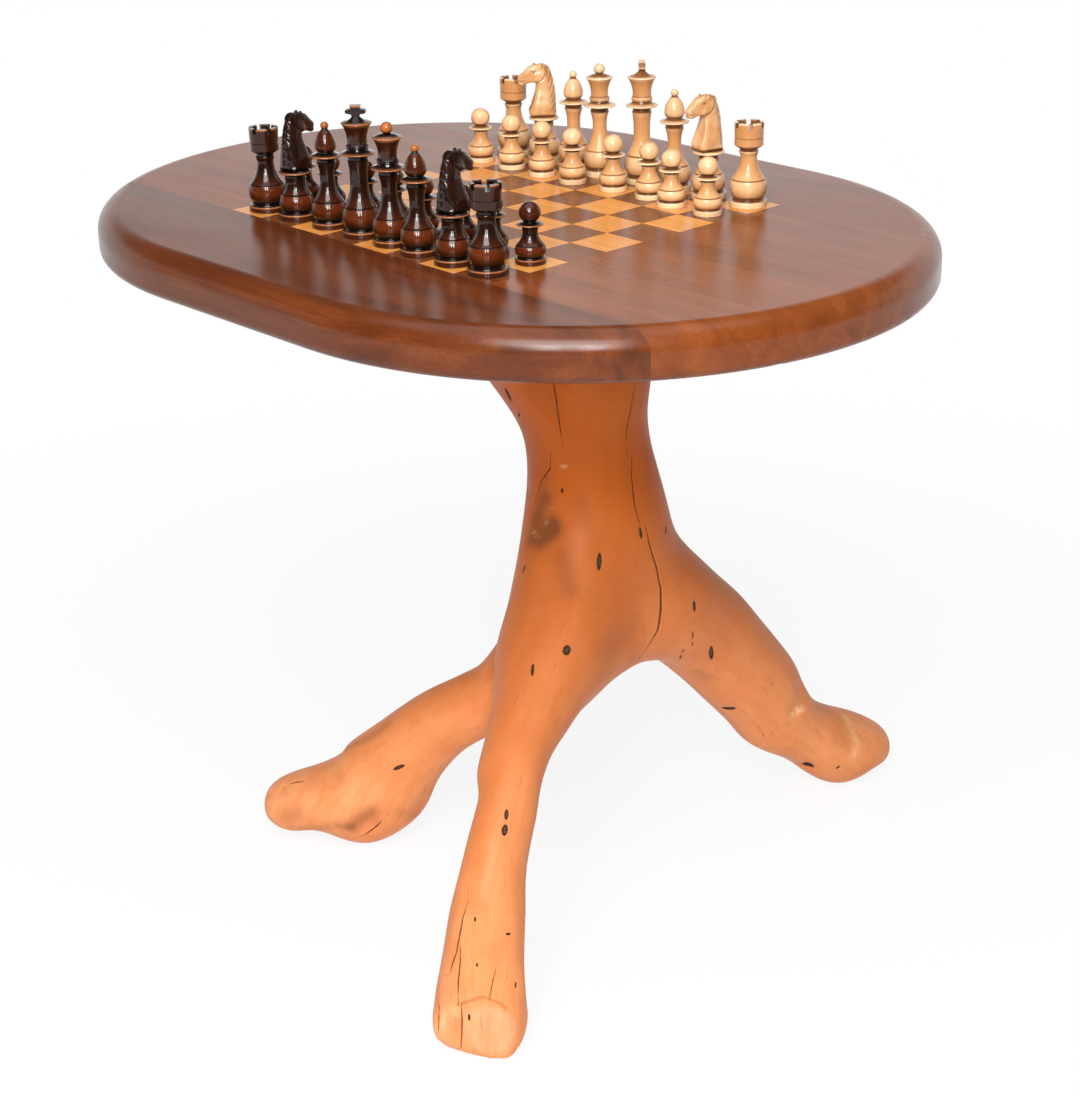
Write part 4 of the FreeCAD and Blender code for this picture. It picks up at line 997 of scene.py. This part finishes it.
def carve_head():
    """The master head in millimetres about its peg's axis: its mesh, and how scorched each spot is."""
    name = "light_knight_1"
    turn_back = Matrix.Rotation(-math.radians(KNIGHT_TURNS[name]), 4, "Z")
    to_own = turn_back @ Matrix.Translation(-top_middle(name + "_base"))
    block = new_object("head_block", frame["nodes"][name + "_head"].data.copy())
    shape = bmesh.new()
    shape.from_mesh(block.data)
    bmesh.ops.remove_doubles(shape, verts=shape.verts, dist=HEAD_VOXEL / 50)
    bmesh.ops.transform(shape, matrix=to_own, verts=shape.verts)
    shape.to_mesh(block.data)
    shape.free()
    mesh = rebuilt(block, HEAD_VOXEL)
    bpy.data.objects.remove(block)
    spots = vertex_rows(mesh, "co") * 1000
    side = np.stack([spots[:, 0], spots[:, 2]], axis=1)
    outline = np.array(HEAD_OUTLINE)
    loop = np.vstack([outline, outline[:1]])
    inside = np.full(len(spots), np.inf)
    left = np.ones(len(spots))
    round_reach = np.ones(len(spots))
    for start, end in zip(loop, loop[1:]):
        run = end[:2] - start[:2]
        share = np.clip((side - start[:2]) @ run / (run @ run), 0, 1)
        away = np.linalg.norm(side - start[:2] - share[:, None] * run, axis=1)
        nearer = away < inside
        left = np.where(nearer, start[2] + share * (end[2] - start[2]), left)
        round_reach = np.where(nearer, start[3] + share * (end[3] - start[3]), round_reach)
        inside = np.minimum(inside, away)
    widths = np.zeros(len(spots))
    weights = np.zeros(len(spots))
    for forward, up, half, reach in HEAD_WIDTHS:
        weight = np.exp(-((side[:, 0] - forward) ** 2 + (side[:, 1] - up) ** 2) / reach ** 2) + 1e-6
        widths += weight * half
        weights += weight
    bulge = np.sqrt(1 - (1 - np.clip(inside / round_reach, 0, 1)) ** 2)
    target = widths / weights * (left + (1 - left) * bulge)
    block_half = np.interp(side[:, 1], BLOCK_HEIGHTS, BLOCK_WIDTHS)
    peg = spots[:, 2] < 0.3
    spots[:, 1] *= np.where(peg, 1, target / block_half)
    hand = np.sign(spots[:, 1])
    flank = np.clip(np.abs(spots[:, 1]) / 2 - 0.4, 0, 1)
    off = {name: off_path(side, path)[0] for name, path in HEAD_LINES.items()}
    off["eye"] = np.linalg.norm((side - np.array(HEAD_EYE)) / EYE_SHAPE, axis=1)
    off["lid"] = off["eye"] - EYE_RIM
    off["nostril"] = np.linalg.norm(side - np.array(HEAD_NOSTRIL), axis=1)
    dent = sum(depth * bell(off[name], wide) for name, (depth, wide, _, _) in HEAD_CUTS.items())
    scorch = sum(dark * bell(off[name], wide) for name, (_, _, dark, wide) in HEAD_CUTS.items())
    comb = np.sin((side[:, 1] + off["mane"] * MANE_SLANT) * 2 * np.pi / MANE_PITCH)
    mane = smooth_step((MANE_REACH - off["mane"]) / 2) * smooth_step((side[:, 1] - 3) / 3)
    mane *= np.clip(comb, 0, 1)
    spots[:, 1] -= hand * flank * (dent + 0.3 * mane)
    spots[:, 0] += 0.5 * mane * (1 - flank)
    gap_half, gap_back, gap_front, gap_foot = EAR_GAP
    between = np.clip(1 - np.abs(spots[:, 1]) / gap_half, 0, 1)
    between *= smooth_step((side[:, 0] - gap_back) / 1.5) * smooth_step((gap_front - side[:, 0]) / 1.5)
    spots[:, 2] -= between * smooth_step((side[:, 1] - gap_foot) / 2.5) * EAR_DEPTH
    tips = smooth_step((side[:, 1] - EAR_TIPS) / 1.4) * smooth_step((side[:, 0] - 3) / 2)
    scorch = np.maximum(scorch * flank + mane * 0.65, between * smooth_step((side[:, 1] - gap_foot) / 2))
    scorch = np.maximum(scorch, smooth_step((SCORCHED_FOOT - side[:, 1]) / 1.6))
    scorch = np.clip(np.maximum(scorch, 0.7 * tips), 0, 1)
    mesh.vertices.foreach_set("co", (spots / 1000).ravel())
    shape = bmesh.new()
    shape.from_mesh(mesh)
    soften(shape, shape.verts, HEAD_PASSES)
    shape.to_mesh(mesh)
    shape.free()
    mesh.attributes.new("scorch", "FLOAT", "POINT").data.foreach_set("value", scorch.astype(np.float32))
    for face in mesh.polygons:
        face.use_smooth = True
    return mesh


head_master = carve_head()
head_finishes = {}
for colour_set, tones in MEN_TONES.items():
    man_finish, tree, surface, place = finish(f"{colour_set}_knight_head_lacquer")
    burnt = attribute(tree, "scorch").outputs["Fac"]
    soft_wood = streaks(tree, place, (70, 70, 70), 2, 0.5)
    colour = mix(tree, ramp(tree, soft_wood, (0.4, 0), (0.62, 1)), tones["skirt"], tones["ring"])
    colour = mix(tree, burnt, colour, tones["groove"])
    lacquer(tree, surface, place, colour, colour_set)
    head_finishes[colour_set] = man_finish
for name, degrees in KNIGHT_TURNS.items():
    to_foot = Matrix.Translation(top_middle(name + "_base"))
    head = new_object(name + "_carved_head", head_master.copy())
    head.data.transform(to_foot @ Matrix.Rotation(math.radians(degrees), 4, "Z"))
    colour_set = name.split("_")[0]
    dress(head, head_finishes[colour_set])
    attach(head, name)
    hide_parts(name + "_head")
bpy.data.meshes.remove(head_master)

# Studio: a pale floor that keeps the table's shadow and fades to white, a white surround ahead of
# the camera and a dim room behind it, and soft lamps above and beside the camera.
FLOOR_SIZE = 14.0
SHADOW_REACH = (0.55, 1.6)
FLOOR_WHITE = 0.88
SURROUND_DIFFUSE = 0.22
ROOM_GLOSS = 0.06
BACKDROP_TOPS = (0.31, 0.44)
LAMP_AIM = (0, 0, 0.45)
STRIP_SIZE = (0.12, 0.8)
STRIP_ASIDE = 0.25
STRIP_POWER = 15
KEY_SIZE = (1.3, 1.3)
KEY_POWER = 54
CEILING_SIZE = (2.6, 2.6)
CEILING_POWER = 30
floor_mesh = bpy.data.meshes.new("floor")
shape = bmesh.new()
bmesh.ops.create_grid(shape, x_segments=1, y_segments=1, size=FLOOR_SIZE / 2)
shape.to_mesh(floor_mesh)
shape.free()
floor = new_object("floor", floor_mesh)
floor_finish, tree, surface, place = finish("pale_floor")
feed(tree, surface, {"Base Color": (0.9, 0.9, 0.9, 1), "Roughness": 0.9, "Specular IOR Level": 0.0})
light_path = add(tree, "ShaderNodeLightPath", {})
seen = sums(tree, "ADD", light_path.outputs["Is Camera Ray"], light_path.outputs["Is Glossy Ray"])
seen = sums(tree, "ADD", seen, light_path.outputs["Is Transmission Ray"])
away = vectors(tree, "LENGTH", place).outputs["Value"]
fade = rescale(tree, away, *SHADOW_REACH, FLOOR_WHITE, 1.0, interpolation_type="SMOOTHSTEP")
white = add(tree, "ShaderNodeEmission", {"Color": (1, 1, 1, 1), "Strength": 1.0})
both = add(tree, "ShaderNodeMixShader", {
    0: times(tree, seen, fade), 1: surface.outputs[0], 2: white.outputs[0]})
tree.links.new(both.outputs[0], tree.nodes["Material Output"].inputs["Surface"])
dress(floor, floor_finish)

world = bpy.data.worlds.new("white_surround")
bpy.context.scene.world = world
world.use_nodes = True
tree = world.node_tree
light_path = add(tree, "ShaderNodeLightPath", {})
outlook = add(tree, "ShaderNodeTexCoord", {}).outputs["Generated"]
forward = vectors(tree, "DOT_PRODUCT", outlook, level_ahead).outputs["Value"]
rightward = vectors(tree, "DOT_PRODUCT", outlook, level_right).outputs["Value"]
backdrop_top = rescale(tree, rightward, -0.15, 0.05, *BACKDROP_TOPS)
below_top = add(tree, "ShaderNodeMath", {0: backdrop_top, 1: height_of(tree, outlook)}, operation="SUBTRACT")
backdrop = rescale(tree, below_top.outputs[0], -0.04, 0.04)
ahead_share = rescale(tree, forward, -0.1, 0.5)
mirrored = rescale(tree, times(tree, backdrop, ahead_share), 0, 1, ROOM_GLOSS, 1.0)
level = rescale(tree, light_path.outputs["Is Glossy Ray"], 0, 1, SURROUND_DIFFUSE, mirrored)
clear = sums(tree, "ADD", light_path.outputs["Is Camera Ray"], light_path.outputs["Is Transmission Ray"])
level = rescale(tree, clear, 0, 1, level, 1.0)
feed(tree, tree.nodes["Background"], {"Strength": level, "Color": (1, 1, 1, 1)})


def softbox(name, spot, aim, width, height, power):
    """A lamp with a flat soft face turned towards a point."""
    lamp = new_object(name, bpy.data.lights.new(name, "AREA"))
    lamp.data.shape = "RECTANGLE"
    lamp.data.size = width
    lamp.data.size_y = height
    lamp.data.energy = power
    lamp.location = spot
    lamp.rotation_euler = (Vector(aim) - Vector(spot)).to_track_quat("-Z", "Y").to_euler()


strip_spot = camera_spot + Vector((0.05, -0.05, 0.32)) - level_right * 0.15
softbox("left_strip", strip_spot - level_right * STRIP_ASIDE, LAMP_AIM, *STRIP_SIZE, STRIP_POWER)
softbox("right_strip", strip_spot + level_right * STRIP_ASIDE, LAMP_AIM, *STRIP_SIZE, STRIP_POWER)
key_spot = Vector((0, 0, 2.2)) - level_ahead * 1.9 - level_right * 0.3
softbox("key", key_spot, LAMP_AIM, *KEY_SIZE, KEY_POWER)
softbox("ceiling", (0.1, -0.3, 2.9), (0.1, -0.2, 0.4), *CEILING_SIZE, CEILING_POWER)

bpy.context.scene.view_settings.view_transform = "Standard"
